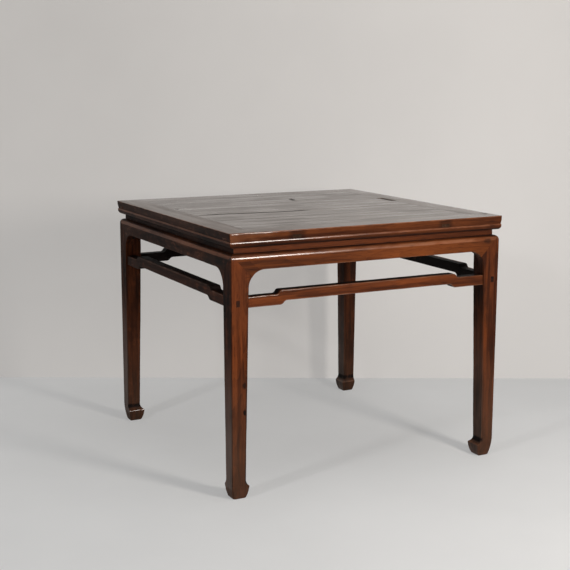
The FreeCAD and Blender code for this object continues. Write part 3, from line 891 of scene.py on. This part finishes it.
def post_stack():
    """The post behind the aprons, up to the frame."""
    z = np.array([PARTING, FRAME_UNDER - 20.0, FRAME_UNDER])
    none = np.zeros_like(z)
    back, inner = APRON_BACK + none, LEG_INNER + none
    corners = [(back, back), (inner, back), (inner, inner), (back, inner)]
    return stacked(corners, z, [none, none, POST_EASE + none, none], [-1, 1, 1, -1])


print("the slices part %.0f mm over the floor" % PARTING)

# %% Build the four legs
# Each leg but the near one is painted darker all over as shade, by its share.
DULLED = {"front_left": 0.0, "front_right": 0.25, "back_right": 0.3, "back_left": 0.3}
# Painted shade on the inner faces of the legs and along their outer arris; dust thins out from the floor up.
DUSTY, UNREACHED, ARRIS_WAX = 430.0, 0.45, 0.35
# Faces that look left: painted shade above DARK_ABOVE, and painted light from the floor, with more coat, towards
# GREYED_BELOW.
GREYED_BELOW, DARK_ABOVE, GREY_GLOSS = 200.0, 500.0, 0.4
FACE_DEPTH, LIP_GLINT = 2.5, 2.5


def leg_masks(corner, axis, points, worn, waxed, polished):
    """Wear, wax, dust and polish of a leg, with painted shade, light and highlight; axis is the coordinate across
    the faces that look left.

    A face that looks left is painted dark above as shade, and grey and a little glossy below, partly dust and
    partly painted light from the pale floor. Shade is painted on the inner faces, along the outer arris, in the
    hollow of the hoof and over every leg but the near one, and the lip of the hoof is painted paler as a
    highlight. Dust thins out upwards.
    """
    z, furthest = points[:, 2], points[:, :2].max(axis=1)
    inside, arris = furthest > leg_inner(z) - FACE_DEPTH, furthest < LEG_FACE + 3
    on_left, across = corner.endswith("left"), points[:, axis]
    left_face = across < LEG_FACE + 2 if on_left else across > leg_inner(z) - FACE_DEPTH
    # Painted light from the pale floor, low on a face that looks left.
    grey = left_face * np.clip((DARK_ABOVE - z) / (DARK_ABOVE - GREYED_BELOW), 0, 1)
    # Painted highlight along the lip of the hoof, paler and polished.
    lip = inside * np.exp(-((z - HOOF_LIP) / LIP_GLINT) ** 2)
    # Painted shade on the inner faces, and on the outer faces of the left legs that look left.
    waxed = np.maximum(waxed, np.maximum(UNREACHED * inside, SHADED_WAX * (left_face & on_left)))
    # Painted floor light lifts the shade low on faces that look left; far legs and the outer arris get painted
    # shade.
    waxed = np.maximum(waxed * (1 - grey), np.maximum(DULLED[corner], ARRIS_WAX * arris))
    # Painted shade in the hollow of the hoof, kept off the lip.
    waxed = np.maximum(waxed, inside * bump(z, HOOF_LIP + 2, ANKLE + 10, 12.0)) * (1 - lip)
    dust = np.maximum(np.clip(1 - z / DUSTY, 0, 1), grey)
    return np.maximum(worn, lip), waxed, dust, np.maximum(polished, np.maximum(lip, GREY_GLOSS * grey))


def leg(corner, quarters, seed):
    """The three stacks of slices as one closed shell: the floor and the post's top close it."""
    points, blocks, rows, start = [], [], [], 0
    stacks = main_stack(seed), point_stack(seed), post_stack()
    for (rings, masks), closed in zip(stacks, ((True, False), (False, False), (False, True))):
        blocks += [block + start for block in skin(rings, closed)]
        points.append(rings.reshape(-1, 3))
        rows.append(np.stack([mask.reshape(-1) for mask in masks]))
        start += len(points[-1])
    points = np.concatenate(points)
    masks = leg_masks(corner, quarters % 2, points, *np.concatenate(rows, axis=1))
    placed = points - np.array([HALF, HALF, 0.0])
    part = placed, facing_out(placed, blocks), points[:, [2, 0, 1]], *masks
    add_piece("leg_" + corner, [part], "leg_wood", quarters)


for number, corner in enumerate(DULLED):
    leg(corner, number, 130 + 3 * number)

# %% [markdown]
# ## The stretchers
# Under each apron a stretcher ties two legs. Its middle is lifted a little above its ends, which makers call a
# hump back. The lift is an S of two equal arcs, so the section is the same rectangle all along and only its top
# and foot move. The left and right stretchers are tenoned right through the legs: their ends show on the front
# and back as small patches of end grain, a hair proud because the leg has shrunk around them.

# %% The hump
HUMP, TOP_STEP, FOOT_STEP = 12.5, (337.0, 317.0), (325.0, 299.0)
STRETCHER_FACE, STRETCHER_BACK, STRETCHER_FOOT, hump_top = set_out("stretcher_front")
STRETCHER_TOP = hump_top - HUMP


def hump(s, outer, inner):
    """Lift of the middle: nothing outside, HUMP inside, and an S of two equal arcs between."""
    half = (outer - inner) / 2
    radius = (half ** 2 + (HUMP / 2) ** 2) / HUMP
    t = np.clip(outer - np.abs(s), 0.0, 2 * half)
    arc = radius - np.sqrt(radius ** 2 - np.minimum(np.minimum(t, 2 * half - t), half) ** 2)
    return np.where(t <= half, arc, HUMP - arc)


print("stretcher: %.1f mm high at its ends, lifted by %.1f mm" % (STRETCHER_TOP - STRETCHER_FOOT, HUMP))

# %% Build the four stretchers
TENON_HALF, TENON_RISE = 6.0, 10.0
INTO_LEG, END_GRAIN_WEAR, END_GRAIN_WAX = 0.6, 0.2, 0.8
STRETCHER_EASE, STRETCHER_CHANGE, STRETCHER_UNEVEN = 2.4, 0.8, 0.3


def through_tenon(sign, start, middle):
    """Tenon from inside the leg out to its face, at the middle of the stretcher's section."""
    centre = (STRETCHER_FACE + STRETCHER_BACK) / 2
    rings, worn = tongue(
        (sign * start, sign * (HALF - LEG_FACE + PROUD)),
        (centre - TENON_HALF, middle - TENON_RISE), (centre + TENON_HALF, middle + TENON_RISE),
    )
    return shell(rings - np.array([0, HALF, 0]), rings, worn * END_GRAIN_WEAR, END_GRAIN_WAX)


def stretcher(side, quarters, seed):
    """Rectangle carried along the side and lifted by the hump, with through tenons on the left and right."""
    middle = (STRETCHER_TOP + STRETCHER_FOOT) / 2
    end = HALF - float(leg_inner(middle)) + INTO_LEG
    bend_from, bend_to = FOOT_STEP[1] - 2, TOP_STEP[0] + 3
    s = both_ways(np.concatenate([
        np.linspace(0, bend_from - 3, 42), np.linspace(bend_from, bend_to, 44),
        np.linspace(bend_to + 5, end, 18),
    ]))
    top = STRETCHER_TOP + hump(s, *TOP_STEP) + STRETCHER_UNEVEN * wander(s, seed, 300.0)
    foot = STRETCHER_FOOT + hump(s, *FOOT_STEP) + STRETCHER_UNEVEN * wander(s, seed + 1, 300.0)
    corners = corners_of(
        (STRETCHER_FACE, foot), (STRETCHER_FACE, top), (STRETCHER_BACK, top), (STRETCHER_BACK, foot),
    )
    eases = np.full(corners.shape[:2], STRETCHER_EASE) + STRETCHER_CHANGE * wander(s, seed + 2, 160.0)[:, None]
    section, worn, _ = eased_section(corners, eases, [2, 2, 2, 2])
    v, z = section[..., 0], section[..., 1]
    along = np.broadcast_to(s[:, None], v.shape)
    # Painted shade on the inner half and the top, with the painted side shade.
    wax = np.maximum(UNWIPED * np.clip((v - STRETCHER_FACE - 4) / 6, 0, 1), dulled_side(side, s))
    # The slopes of the hump on the left, right and back stretchers are painted dark as shade.
    if side != "front":
        on_slope = bump(np.abs(s), FOOT_STEP[1], TOP_STEP[0], 3.0)[:, None] * (z > top[:, None] - 2.5)
        wax = np.maximum(wax, on_slope)
    parts = [shell(np.stack([along, v - HALF, z], 2), np.stack([along, v, z], 2), worn, wax, 0.0, worn)]
    if side in ("left", "right"):
        parts += [through_tenon(sign, end - 2, middle) for sign in (-1.0, 1.0)]
    add_piece("stretcher_" + side, parts, "stretcher_wood", quarters)


for number, side in enumerate(SIDES):
    stretcher(side, number, 160 + 4 * number)

# %% [markdown]
# ## The braces
# Two bars cross under the boards and hold them flat. They are left rough from the saw, and their tenons run
# right through the front and back of the frame, where they show in the leaning fascia.

# %% Build the two braces
BRACE_TENON = ((-15.0, FRAME_UNDER + 20.0), (15.0, FRAME_UNDER + 31.0))
SAWN_EASE, BRACE_EASE, BRACE_CHANGE = 0.4, 2.0, 0.8


def brace(name, place):
    """Bar carried from front to back, and at each end a tenon cut off along the lean of the fascia."""
    y = both_ways(np.linspace(0, OPENING, 40))
    corners = carried(oblong((-BRACE_HALF, BRACE_UNDER), (BRACE_HALF, PANEL_UNDER)), y)
    eases = np.full(corners.shape[:2], SAWN_EASE)
    eases[:, :2] = BRACE_EASE + BRACE_CHANGE * wander(y, 180, 200.0)[:, None]
    section, worn, _ = eased_section(corners, eases, [1, 1, 1, 1])
    along = np.broadcast_to(y[:, None], section.shape[:2])
    rings = np.stack([section[..., 0] + place, along, section[..., 1]], axis=2)
    parts = [shell(rings, rings[..., [1, 0, 2]], worn)]
    for sign in (-1.0, 1.0):
        ends, worn = fascia_tenon(sign, OPENING - 2, BRACE_TENON)
        rings = np.stack([ends[..., 1] + place, ends[..., 0], ends[..., 2]], axis=2)
        parts.append(shell(rings, rings[..., [1, 0, 2]], worn * TENON_WEAR, TENON_WAX))
    add_piece(name, parts, "brace_wood")


brace("brace_left", -BRACE_PLACE)
brace("brace_right", BRACE_PLACE)

# %% [markdown]
# ## Building materials from nodes
# A finish here is built in layers that every piece shares in its own measure: the grain of the plank, the grey
# that daylight leaves, the pale wear along the arrises with painted highlights on the rounds, a few dark marks,
# and the old wax in the corners with painted shade. Each layer is a node group, built once and placed in each
# material with its own values. Small helpers keep the wiring readable.

# %% Helpers that place and wire nodes
def put(tree, kind, values=None, **settings):
    """Adds a node, applies its settings and fills its sockets: a socket is wired in, a plain value typed in."""
    node = tree.nodes.new(kind)
    for key, value in settings.items():
        setattr(node, key, value)
    for key, value in (values or {}).items():
        if isinstance(value, bpy.types.NodeSocket):
            tree.links.new(value, node.inputs[key])
        else:
            node.inputs[key].default_value = value
    return node


def sum_of(tree, operation, a, b=0.0, c=0.0, clamp=False):
    """Result of one math node."""
    return put(tree, "ShaderNodeMath", {0: a, 1: b, 2: c}, operation=operation, use_clamp=clamp).outputs[0]


def vector_sum(tree, operation, a, b):
    """Result of one vector math node."""
    return put(tree, "ShaderNodeVectorMath", {0: a, 1: b}, operation=operation).outputs[0]


def stretched(tree, place, by):
    """Coordinates multiplied along each axis, which draws a pattern out or packs it closer."""
    return vector_sum(tree, "MULTIPLY", place, by)


def colours_mixed(tree, share, a, b):
    """Colour a turned towards colour b by a share."""
    return put(tree, "ShaderNodeMix", {0: share, 6: a, 7: b}, data_type="RGBA").outputs[2]


def ranged(tree, value, low, high, out_low=0.0, out_high=1.0):
    """Value carried smoothly from one range to another."""
    values = {"Value": value, "From Min": low, "From Max": high, "To Min": out_low, "To Max": out_high}
    return put(tree, "ShaderNodeMapRange", values, interpolation_type="SMOOTHSTEP").outputs[0]


def noise(tree, place, scale=1.0, detail=2.0, roughness=0.55):
    """Grey level of a noise texture."""
    values = {"Vector": place, "Scale": scale, "Detail": detail, "Roughness": roughness}
    return put(tree, "ShaderNodeTexNoise", values).outputs["Fac"]


def rgb(red, green, blue):
    """Colour with full cover."""
    return (red, green, blue, 1.0)


SOCKETS = {"vector": "NodeSocketVector", "colour": "NodeSocketColor", "value": "NodeSocketFloat"}


def new_group(name, takes, gives):
    """Empty group with named sockets; returns its tree, its inputs and a function that wires an output."""
    tree = bpy.data.node_groups.new(name, "ShaderNodeTree")
    for socket, kind in takes.items():
        tree.interface.new_socket(socket, in_out="INPUT", socket_type=SOCKETS[kind])
    for socket, kind in gives.items():
        tree.interface.new_socket(socket, in_out="OUTPUT", socket_type=SOCKETS[kind])
    inlet, outlet = tree.nodes.new("NodeGroupInput"), tree.nodes.new("NodeGroupOutput")
    return tree, inlet.outputs, lambda socket, source: tree.links.new(source, outlet.inputs[socket])


print("a group takes and gives a", ", a ".join(SOCKETS))

# %% [markdown]
# ## The grain
# Hardwood of this kind is straight and close grained: long soft streaks, growth rings that close into tall
# arches where the saw ran flat, and short dark pores. A wave texture gives stripes that look printed. Contour
# lines of a slow noise, drawn out along the plank, wander and close up by themselves, as the rings do.

# %% Grain group
PORE_COLOUR, PORE_DEPTH = rgb(0.012, 0.006, 0.004), 0.55
grain_tree, takes, give = new_group(
    "plank_grain",
    {"Place": "vector", "Light": "colour", "Dark": "colour", "Figure": "value", "Contrast": "value"},
    {"Colour": "colour", "Streak": "value", "Height": "value"},
)
slow = put(grain_tree, "ShaderNodeTexNoise", {
    "Vector": stretched(grain_tree, takes["Place"], (0.9, 6.0, 6.0)), "Scale": 1.0, "Detail": 2.0,
}).outputs["Color"]
drift = stretched(grain_tree, slow, (0.0, 0.022, 0.022))
bent = vector_sum(grain_tree, "ADD", takes["Place"], drift)
streak = noise(grain_tree, stretched(grain_tree, bent, (1.7, 44.0, 44.0)), detail=5.0, roughness=0.6)
fibre = noise(grain_tree, stretched(grain_tree, bent, (14.0, 430.0, 430.0)), detail=2.0)
contour = noise(grain_tree, stretched(grain_tree, bent, (0.8, 9.0, 9.0)), detail=1.0)
ring = sum_of(grain_tree, "FRACT", sum_of(grain_tree, "MULTIPLY", contour, 15.0))
ring = sum_of(grain_tree, "POWER", ring, 2.2)
speck = noise(grain_tree, stretched(grain_tree, bent, (26.0, 760.0, 760.0)), detail=0.0)
pore = ranged(grain_tree, speck, 0.64, 0.74)
tone = noise(grain_tree, stretched(grain_tree, takes["Place"], (1.1, 3.5, 3.5)), detail=2.0)
dark = ranged(grain_tree, streak, 0.36, 0.66)
dark = sum_of(grain_tree, "MULTIPLY_ADD", ring, takes["Figure"], dark)
dark = sum_of(grain_tree, "MULTIPLY_ADD", fibre, 0.5, sum_of(grain_tree, "SUBTRACT", dark, 0.25))
dark = sum_of(grain_tree, "MULTIPLY_ADD", tone, 0.9, sum_of(grain_tree, "SUBTRACT", dark, 0.45))
dark = sum_of(grain_tree, "MULTIPLY", dark, takes["Contrast"], clamp=True)
streaked = colours_mixed(grain_tree, dark, takes["Light"], takes["Dark"])
in_pore = sum_of(grain_tree, "MULTIPLY", pore, PORE_DEPTH)
give("Colour", colours_mixed(grain_tree, in_pore, streaked, PORE_COLOUR))
give("Streak", streak)
give("Height", sum_of(grain_tree, "SUBTRACT", sum_of(grain_tree, "MULTIPLY", fibre, 0.6), pore))
print("grain group:", len(grain_tree.nodes), "nodes")

# %% [markdown]
# ## A bleached top
# Daylight and daily wiping take the red out of a table top and leave it grey brown, while the sides under it
# stay warm. The mesh says which points lie on the top, and the group turns their colour towards the bleached
# tone. The same tone stands for the dust low on the legs, and, low on the faces of the legs that look left,
# for painted light from the pale floor.

# %% Bleaching group
BLEACHED = rgb(0.108, 0.075, 0.053)
bleach_tree, takes, give = new_group(
    "bleached_top",
    {"Colour": "colour", "Bleached": "value", "Tone": "colour", "Strength": "value"},
    {"Colour": "colour"},
)
share = sum_of(bleach_tree, "MULTIPLY", takes["Bleached"], takes["Strength"], clamp=True)
give("Colour", colours_mixed(bleach_tree, share, takes["Colour"], takes["Tone"]))
print("bleaching group:", len(bleach_tree.nodes), "nodes")

# %% [markdown]
# ## Worn arrises and painted highlights
# Where sleeves and cloths rub, the finish thins and the wood shows paler and pinker. The mesh already says
# how close each point is to an arris. A noise breaks that band up, because no edge wears evenly. The same
# pale tone paints highlights on the bead, the shoulders and the lip of the hoof, and light on the left end of the
# fascia.

# %% Wear group
wear_tree, takes, give = new_group(
    "rubbed_arris",
    {"Colour": "colour", "Place": "vector", "Worn": "value", "Pale": "colour", "Strength": "value"},
    {"Colour": "colour", "Mask": "value"},
)
# Pale wear, which also paints highlights and light where the mesh asks for them.
patchy = noise(wear_tree, stretched(wear_tree, takes["Place"], (16.0, 60.0, 60.0)), detail=3.0)
rubbed = sum_of(wear_tree, "MULTIPLY", takes["Worn"], ranged(wear_tree, patchy, 0.3, 0.62))
rubbed = sum_of(wear_tree, "MULTIPLY", rubbed, takes["Strength"], clamp=True)
give("Colour", colours_mixed(wear_tree, rubbed, takes["Colour"], takes["Pale"]))
give("Mask", rubbed)
print("wear group:", len(wear_tree.nodes), "nodes")

# %% [markdown]
# ## Knots and spots
# A few knots and spills sit at known places. Each one is an ellipsoid in the coordinates of its own plank, so
# it can appear on no other piece. It may be turned a little, and a noise makes its edge ragged.

# %% Mark group
mark_tree, takes, give = new_group(
    "dark_mark",
    {"Place": "vector", "Centre": "vector", "Spread": "vector", "Turn": "value"},
    {"Mask": "value"},
)
away = vector_sum(mark_tree, "SUBTRACT", takes["Place"], takes["Centre"])
about = put(mark_tree, "ShaderNodeVectorRotate", {
    "Vector": away, "Angle": takes["Turn"],
}, rotation_type="Z_AXIS")
away = vector_sum(mark_tree, "DIVIDE", about.outputs[0], takes["Spread"])
away = put(mark_tree, "ShaderNodeVectorMath", {0: away}, operation="LENGTH").outputs["Value"]
ragged = noise(mark_tree, stretched(mark_tree, takes["Place"], (90.0, 240.0, 240.0)), detail=2.0)
away = sum_of(mark_tree, "MULTIPLY_ADD", ragged, 0.7, away)
give("Mask", ranged(mark_tree, away, 1.35, 0.75))
print("mark group:", len(mark_tree.nodes), "nodes")

# %% [markdown]
# ## Old wax and painted shade
# Polish builds up in the corners that a cloth doesn't reach and turns nearly black. It also lies in faint
# clouds over every face, which keeps a broad surface from looking sprayed. The same dark tone paints shade:
# on the left side, on inner faces, in recesses and hollows, and over every leg but the near one.

# %% Wax group
# Dark of old wax, also used as painted shade.
GRIME = rgb(0.010, 0.006, 0.005)
wax_tree, takes, give = new_group(
    "old_wax",
    {"Colour": "colour", "Place": "vector", "Waxed": "value", "Grime": "colour", "Clouds": "value"},
    {"Colour": "colour", "Mask": "value"},
)
cloud = noise(wax_tree, stretched(wax_tree, takes["Place"], (5.0, 14.0, 14.0)), detail=3.0)
cloud = ranged(wax_tree, cloud, 0.42, 0.72)
lump = noise(wax_tree, stretched(wax_tree, takes["Place"], (30.0, 60.0, 60.0)), detail=2.0)
settled = sum_of(wax_tree, "MULTIPLY", takes["Waxed"], ranged(wax_tree, lump, 0.1, 0.5, 0.3, 1.0))
settled = sum_of(wax_tree, "MULTIPLY_ADD", cloud, takes["Clouds"], settled, clamp=True)
give("Colour", colours_mixed(wax_tree, settled, takes["Colour"], takes["Grime"]))
give("Mask", settled)
print("wax group:", len(wax_tree.nodes), "nodes")

# %% [markdown]
# ## The finishes
# All the wood is one species, but a top is wiped every day while a brace is never touched. Each finish gives
# the groups its own colours and strengths. The gloss follows the streaks a little, because dense late
# wood polishes better than the soft early wood beside it, and a clear coat lies only where hands have polished.

# %% One waxed wood
SHEEN, COAT_ROUGHNESS, RELIEF_DEPTH = 0.06, 0.19, 0.0003


def waxed_wood(name, light, dark, pale, figure, rub, clouds, gloss,
               contrast=0.8, bleach=0.0, relief=0.25, fineness=1.0, marks=()):
    """Material of one finish: grain, bleaching, rubbed arrises and painted highlights, marks, then wax with
    painted shade and a coat where polished.
    """
    material = bpy.data.materials.new(name)
    material.use_nodes = True
    tree = material.node_tree
    tree.nodes.clear()

    def layer(group_tree, **values):
        """Outputs of one node group, placed with its own values."""
        return put(tree, "ShaderNodeGroup", values, node_tree=group_tree).outputs

    place = put(tree, "ShaderNodeAttribute", attribute_name="grain").outputs["Vector"]
    worn, waxed, bleached, polished = (
        put(tree, "ShaderNodeAttribute", attribute_name=mask).outputs["Fac"] for mask in MASKS
    )
    fine = stretched(tree, place, (fineness, fineness, fineness))
    plank = layer(grain_tree, Place=fine, Light=rgb(*light), Dark=rgb(*dark), Figure=figure, Contrast=contrast)
    wood = layer(bleach_tree, Colour=plank["Colour"], Bleached=bleached, Tone=BLEACHED, Strength=bleach)
    wood = layer(wear_tree, Colour=wood["Colour"], Place=place, Worn=worn, Pale=rgb(*pale), Strength=rub)
    for centre, spread, strength, turn in marks:
        spot = layer(mark_tree, Place=place, Centre=centre, Spread=spread, Turn=turn)["Mask"]
        waxed = sum_of(tree, "MAXIMUM", waxed, sum_of(tree, "MULTIPLY", spot, strength))
    wax = layer(wax_tree, Colour=wood["Colour"], Place=place, Waxed=waxed, Grime=GRIME, Clouds=clouds)
    rough = ranged(tree, plank["Streak"], 0.3, 0.7, gloss - 0.04, gloss + 0.05)
    rough = sum_of(tree, "MULTIPLY_ADD", wax["Mask"], 0.2, rough, clamp=True)
    clean = sum_of(tree, "MULTIPLY", polished, sum_of(tree, "SUBTRACT", 1.0, wax["Mask"]), clamp=True)
    dull = sum_of(tree, "MULTIPLY", bleached, ranged(tree, plank["Streak"], 0.35, 0.65, 0.0, 0.3))
    coat = sum_of(tree, "MULTIPLY", clean, sum_of(tree, "SUBTRACT", 1.0, dull))
    bumps = put(tree, "ShaderNodeBump", {
        "Height": plank["Height"], "Strength": relief, "Distance": RELIEF_DEPTH,
    })
    surface = put(tree, "ShaderNodeBsdfPrincipled", {
        "Base Color": wax["Colour"], "Roughness": rough, "Normal": bumps.outputs[0],
        "Specular IOR Level": SHEEN, "Coat Weight": coat, "Coat Roughness": COAT_ROUGHNESS,
    })
    put(tree, "ShaderNodeOutputMaterial", {"Surface": surface.outputs[0]})
    return material


print("coat roughness %.2f" % COAT_ROUGHNESS)


# %% Knots and spots by finish
def mark(piece, place, spread, strength, clockwise=0.0):
    """Centre, spread, strength and turn of a mark, from millimetres and degrees in its own plank."""
    centre = np.array(place) * MM + PLANK_SHIFT * planks[piece]
    return tuple(centre), tuple(MM * size for size in spread), strength, math.radians(clockwise)


MARKS = {
    "frame_wood": [mark("frame_right", (-414, 16, 830), (24, 10, 9), 0.8)],
    "panel_wood": [
        mark("panel_board_3", (-401, 152, 830), (9, 14, 9), 1.0),
        mark("panel_board_4", (97, 246, 830), (13, 50, 9), 0.85, 16),
    ],
    "apron_wood": [mark("apron_front", (444, 8, 746), (22, 8, 13), 0.5)],
    "leg_wood": [
        mark("leg_front_left", (361, 51, 8), (15, 9, 9), 0.75),
        mark("leg_front_left", (277, 52, 8), (13, 8, 9), 0.9),
    ],
}
print("marks:", sum(len(marks) for marks in MARKS.values()))

# %% A finish for each kind of piece
FINISHES = {
    "frame_wood": dict(
        light=(0.180, 0.050, 0.015), dark=(0.055, 0.014, 0.005), pale=(0.43, 0.17, 0.08),
        figure=0.25, rub=0.55, clouds=0.25, gloss=0.36, bleach=0.85, relief=0.12),
    "panel_wood": dict(
        light=(0.130, 0.070, 0.040), dark=(0.045, 0.018, 0.009), pale=(0.20, 0.11, 0.07),
        figure=0.4, rub=0.3, clouds=0.3, gloss=0.36, contrast=0.9, bleach=0.5),
    "waist_wood": dict(
        light=(0.160, 0.042, 0.013), dark=(0.045, 0.011, 0.005), pale=(0.25, 0.12, 0.07),
        figure=0.25, rub=0.3, clouds=0.3, gloss=0.40),
    "apron_wood": dict(
        light=(0.245, 0.066, 0.017), dark=(0.078, 0.020, 0.006), pale=(0.42, 0.20, 0.11),
        figure=0.3, rub=0.5, clouds=0.25, gloss=0.36, relief=0.12),
    "leg_wood": dict(
        light=(0.210, 0.052, 0.014), dark=(0.050, 0.012, 0.004), pale=(0.28, 0.11, 0.05),
        figure=0.35, rub=0.3, clouds=0.35, gloss=0.42, bleach=0.55, fineness=1.7),
    "stretcher_wood": dict(
        light=(0.235, 0.060, 0.017), dark=(0.066, 0.017, 0.006), pale=(0.40, 0.20, 0.11),
        figure=0.3, rub=0.6, clouds=0.3, gloss=0.38),
    "brace_wood": dict(
        light=(0.140, 0.070, 0.036), dark=(0.050, 0.025, 0.014), pale=(0.22, 0.13, 0.08),
        figure=0.3, rub=0.3, clouds=0.35, gloss=0.65, relief=0.6),
}
finishes = {name: waxed_wood(name, marks=MARKS.get(name, ()), **values) for name, values in FINISHES.items()}
for piece in made.values():
    piece.data.materials.append(finishes[piece["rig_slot"]])
print("finishes:", ", ".join(finishes))

# %% [markdown]
# ## Floor and wall
# A plain pale floor meets a plain pale wall just behind the table. Both show only their faces: from behind they
# let the eye through, so that the back and the underside of the table can be looked at as well.

# %% A plain sheet of the stage
MOTTLE, SHEET_ROUGHNESS = 0.96, 0.75
PALER_FROM, DARKER_WITHIN = 1.8, 1.0


def sheet_paint(name, colour, across, glow, paler_below, darker_across):
    """Flat paint, faintly mottled, with painted light from PALER_FROM down to the floor and painted shade along
    across.

    glow is the share of its tone that it shows to the eye and in reflections by itself, so that it stays pale
    without more light. From behind it is clear.
    """
    material = bpy.data.materials.new(name)
    material.use_nodes = True
    tree = material.node_tree
    tree.nodes.clear()
    place = put(tree, "ShaderNodeTexCoord").outputs["Object"]
    mottled = ranged(tree, noise(tree, place, 1.3, 4.0), 0.3, 0.7)
    shade = colours_mixed(tree, mottled, rgb(*colour), rgb(*(MOTTLE * c for c in colour)))
    height = put(tree, "ShaderNodeSeparateXYZ", {0: place}).outputs["Z"]
    shade = colours_mixed(tree, ranged(tree, height, PALER_FROM, 0.0, 0.0, paler_below), shade, rgb(1.0, 1.0, 1.0))
    sideways = put(tree, "ShaderNodeVectorMath", {0: place, 1: across}, operation="DOT_PRODUCT")
    darker = ranged(tree, sideways.outputs["Value"], -DARKER_WITHIN, DARKER_WITHIN, 0.0, darker_across)
    shade = colours_mixed(tree, darker, shade, rgb(0.0, 0.0, 0.0))
    ray = put(tree, "ShaderNodeLightPath").outputs
    seen = sum_of(tree, "MAXIMUM", ray["Is Camera Ray"], ray["Is Glossy Ray"])
    paint = put(tree, "ShaderNodeBsdfPrincipled", {
        "Base Color": shade, "Emission Color": shade,
        "Emission Strength": sum_of(tree, "MULTIPLY", seen, glow),
        "Roughness": SHEET_ROUGHNESS, "Specular IOR Level": 0.0,
    })
    behind = put(tree, "ShaderNodeNewGeometry").outputs["Backfacing"]
    clear = put(tree, "ShaderNodeBsdfTransparent")
    mixed = put(tree, "ShaderNodeMixShader", {0: behind, 1: paint.outputs[0], 2: clear.outputs[0]})
    put(tree, "ShaderNodeOutputMaterial", {"Surface": mixed.outputs[0]})
    return material


print("stage paint mottled by %.0f percent" % (100 * (1 - MOTTLE)))

# %% Build the floor and the wall
WALL_AWAY, SHEET_REACH, FLOOR_DROP = 0.80, 9.0, 0.0002
LOOKING = (math.sin(-CAMERA_TURN), math.cos(CAMERA_TURN), 0.0)


def plain_sheet(name, centre, across, up, colour, glow, paler_below=0.0, darker_across=0.0):
    """Flat square: its centre plus or minus SHEET_REACH along across and along up, facing up cross across."""
    shares = SHEET_REACH * np.array([[-1, -1], [-1, 1], [1, 1], [1, -1]])
    points = np.array(centre) + shares @ np.array([across, up])
    mesh = bpy.data.meshes.new(name)
    mesh.from_pydata(points.tolist(), [], [[0, 1, 2, 3]])
    mesh.materials.append(sheet_paint(name, colour, across, glow, paler_below, darker_across))
    sheet = bpy.data.objects.new(name, mesh)
    bpy.context.scene.collection.objects.link(sheet)


plain_sheet("floor", (0, 0, -FLOOR_DROP), (0, 1, 0), (1, 0, 0), (0.485, 0.485, 0.482), 0.64)
# The wall is painted lighter towards the floor and darker towards its left, as painted light and shade.
plain_sheet(
    "wall", [WALL_AWAY * d for d in LOOKING], (-LOOKING[1], LOOKING[0], 0), (0, 0, 1),
    (0.400, 0.386, 0.372), 0.88, paler_below=0.06, darker_across=0.09,
)
print("floor and wall: the wall stands %.2f m behind the middle" % WALL_AWAY)

# %% [markdown]
# ## Light
# A tall soft lamp stands to the right of the camera: it warms the front of the table, draws a bright line
# along every polished round and leaves the left side in shade. A small lamp far to the left throws the second
# set of shadows, a wide one over the table lifts them all, and a pale room fills the rest.

# %% Hang the lamps
AIM_HEIGHT = 0.5
ROOM_COLOUR, ROOM_STRENGTH, ROOM_SEEN = rgb(1.0, 0.98, 0.96), 0.1, 0.5


def soft_lamp(name, place, watts, wide, tall, colour=(1.0, 1.0, 1.0)):
    """Oblong lamp that looks at the middle of the table."""
    lamp = bpy.data.objects.new(name, bpy.data.lights.new(name, "AREA"))
    lamp.data.shape = "RECTANGLE"
    lamp.data.energy, lamp.data.size, lamp.data.size_y = watts, wide, tall
    lamp.data.color = colour
    back = np.array(place) - np.array([0.0, 0.0, AIM_HEIGHT])
    back = back / np.linalg.norm(back)
    right = np.cross([0.0, 0.0, 1.0], back)
    right = right / np.linalg.norm(right)
    set_down(lamp, np.stack([right, np.cross(back, right), back], axis=1), place)


soft_lamp("right_lamp", (0.75, -2.80, 1.35), 48.0, 0.45, 0.8, (1.0, 0.95, 0.90))
soft_lamp("left_lamp", (-3.7, -1.6, 2.6), 29.0, 0.3, 0.3)
soft_lamp("ceiling_lamp", (0.2, -0.6, 3.2), 21.0, 2.0, 2.0)
room = bpy.data.worlds.new("room")
room.use_nodes = True
room.node_tree.nodes.clear()
seen = put(room.node_tree, "ShaderNodeLightPath").outputs["Is Camera Ray"]
air = put(room.node_tree, "ShaderNodeBackground", {
    "Color": ROOM_COLOUR, "Strength": sum_of(room.node_tree, "MULTIPLY_ADD", seen, ROOM_SEEN, ROOM_STRENGTH),
})
put(room.node_tree, "ShaderNodeOutputWorld", {"Surface": air.outputs[0]})
bpy.context.scene.world = room
bpy.context.scene.view_settings.view_transform = "Standard"
print("three lamps and a pale room")
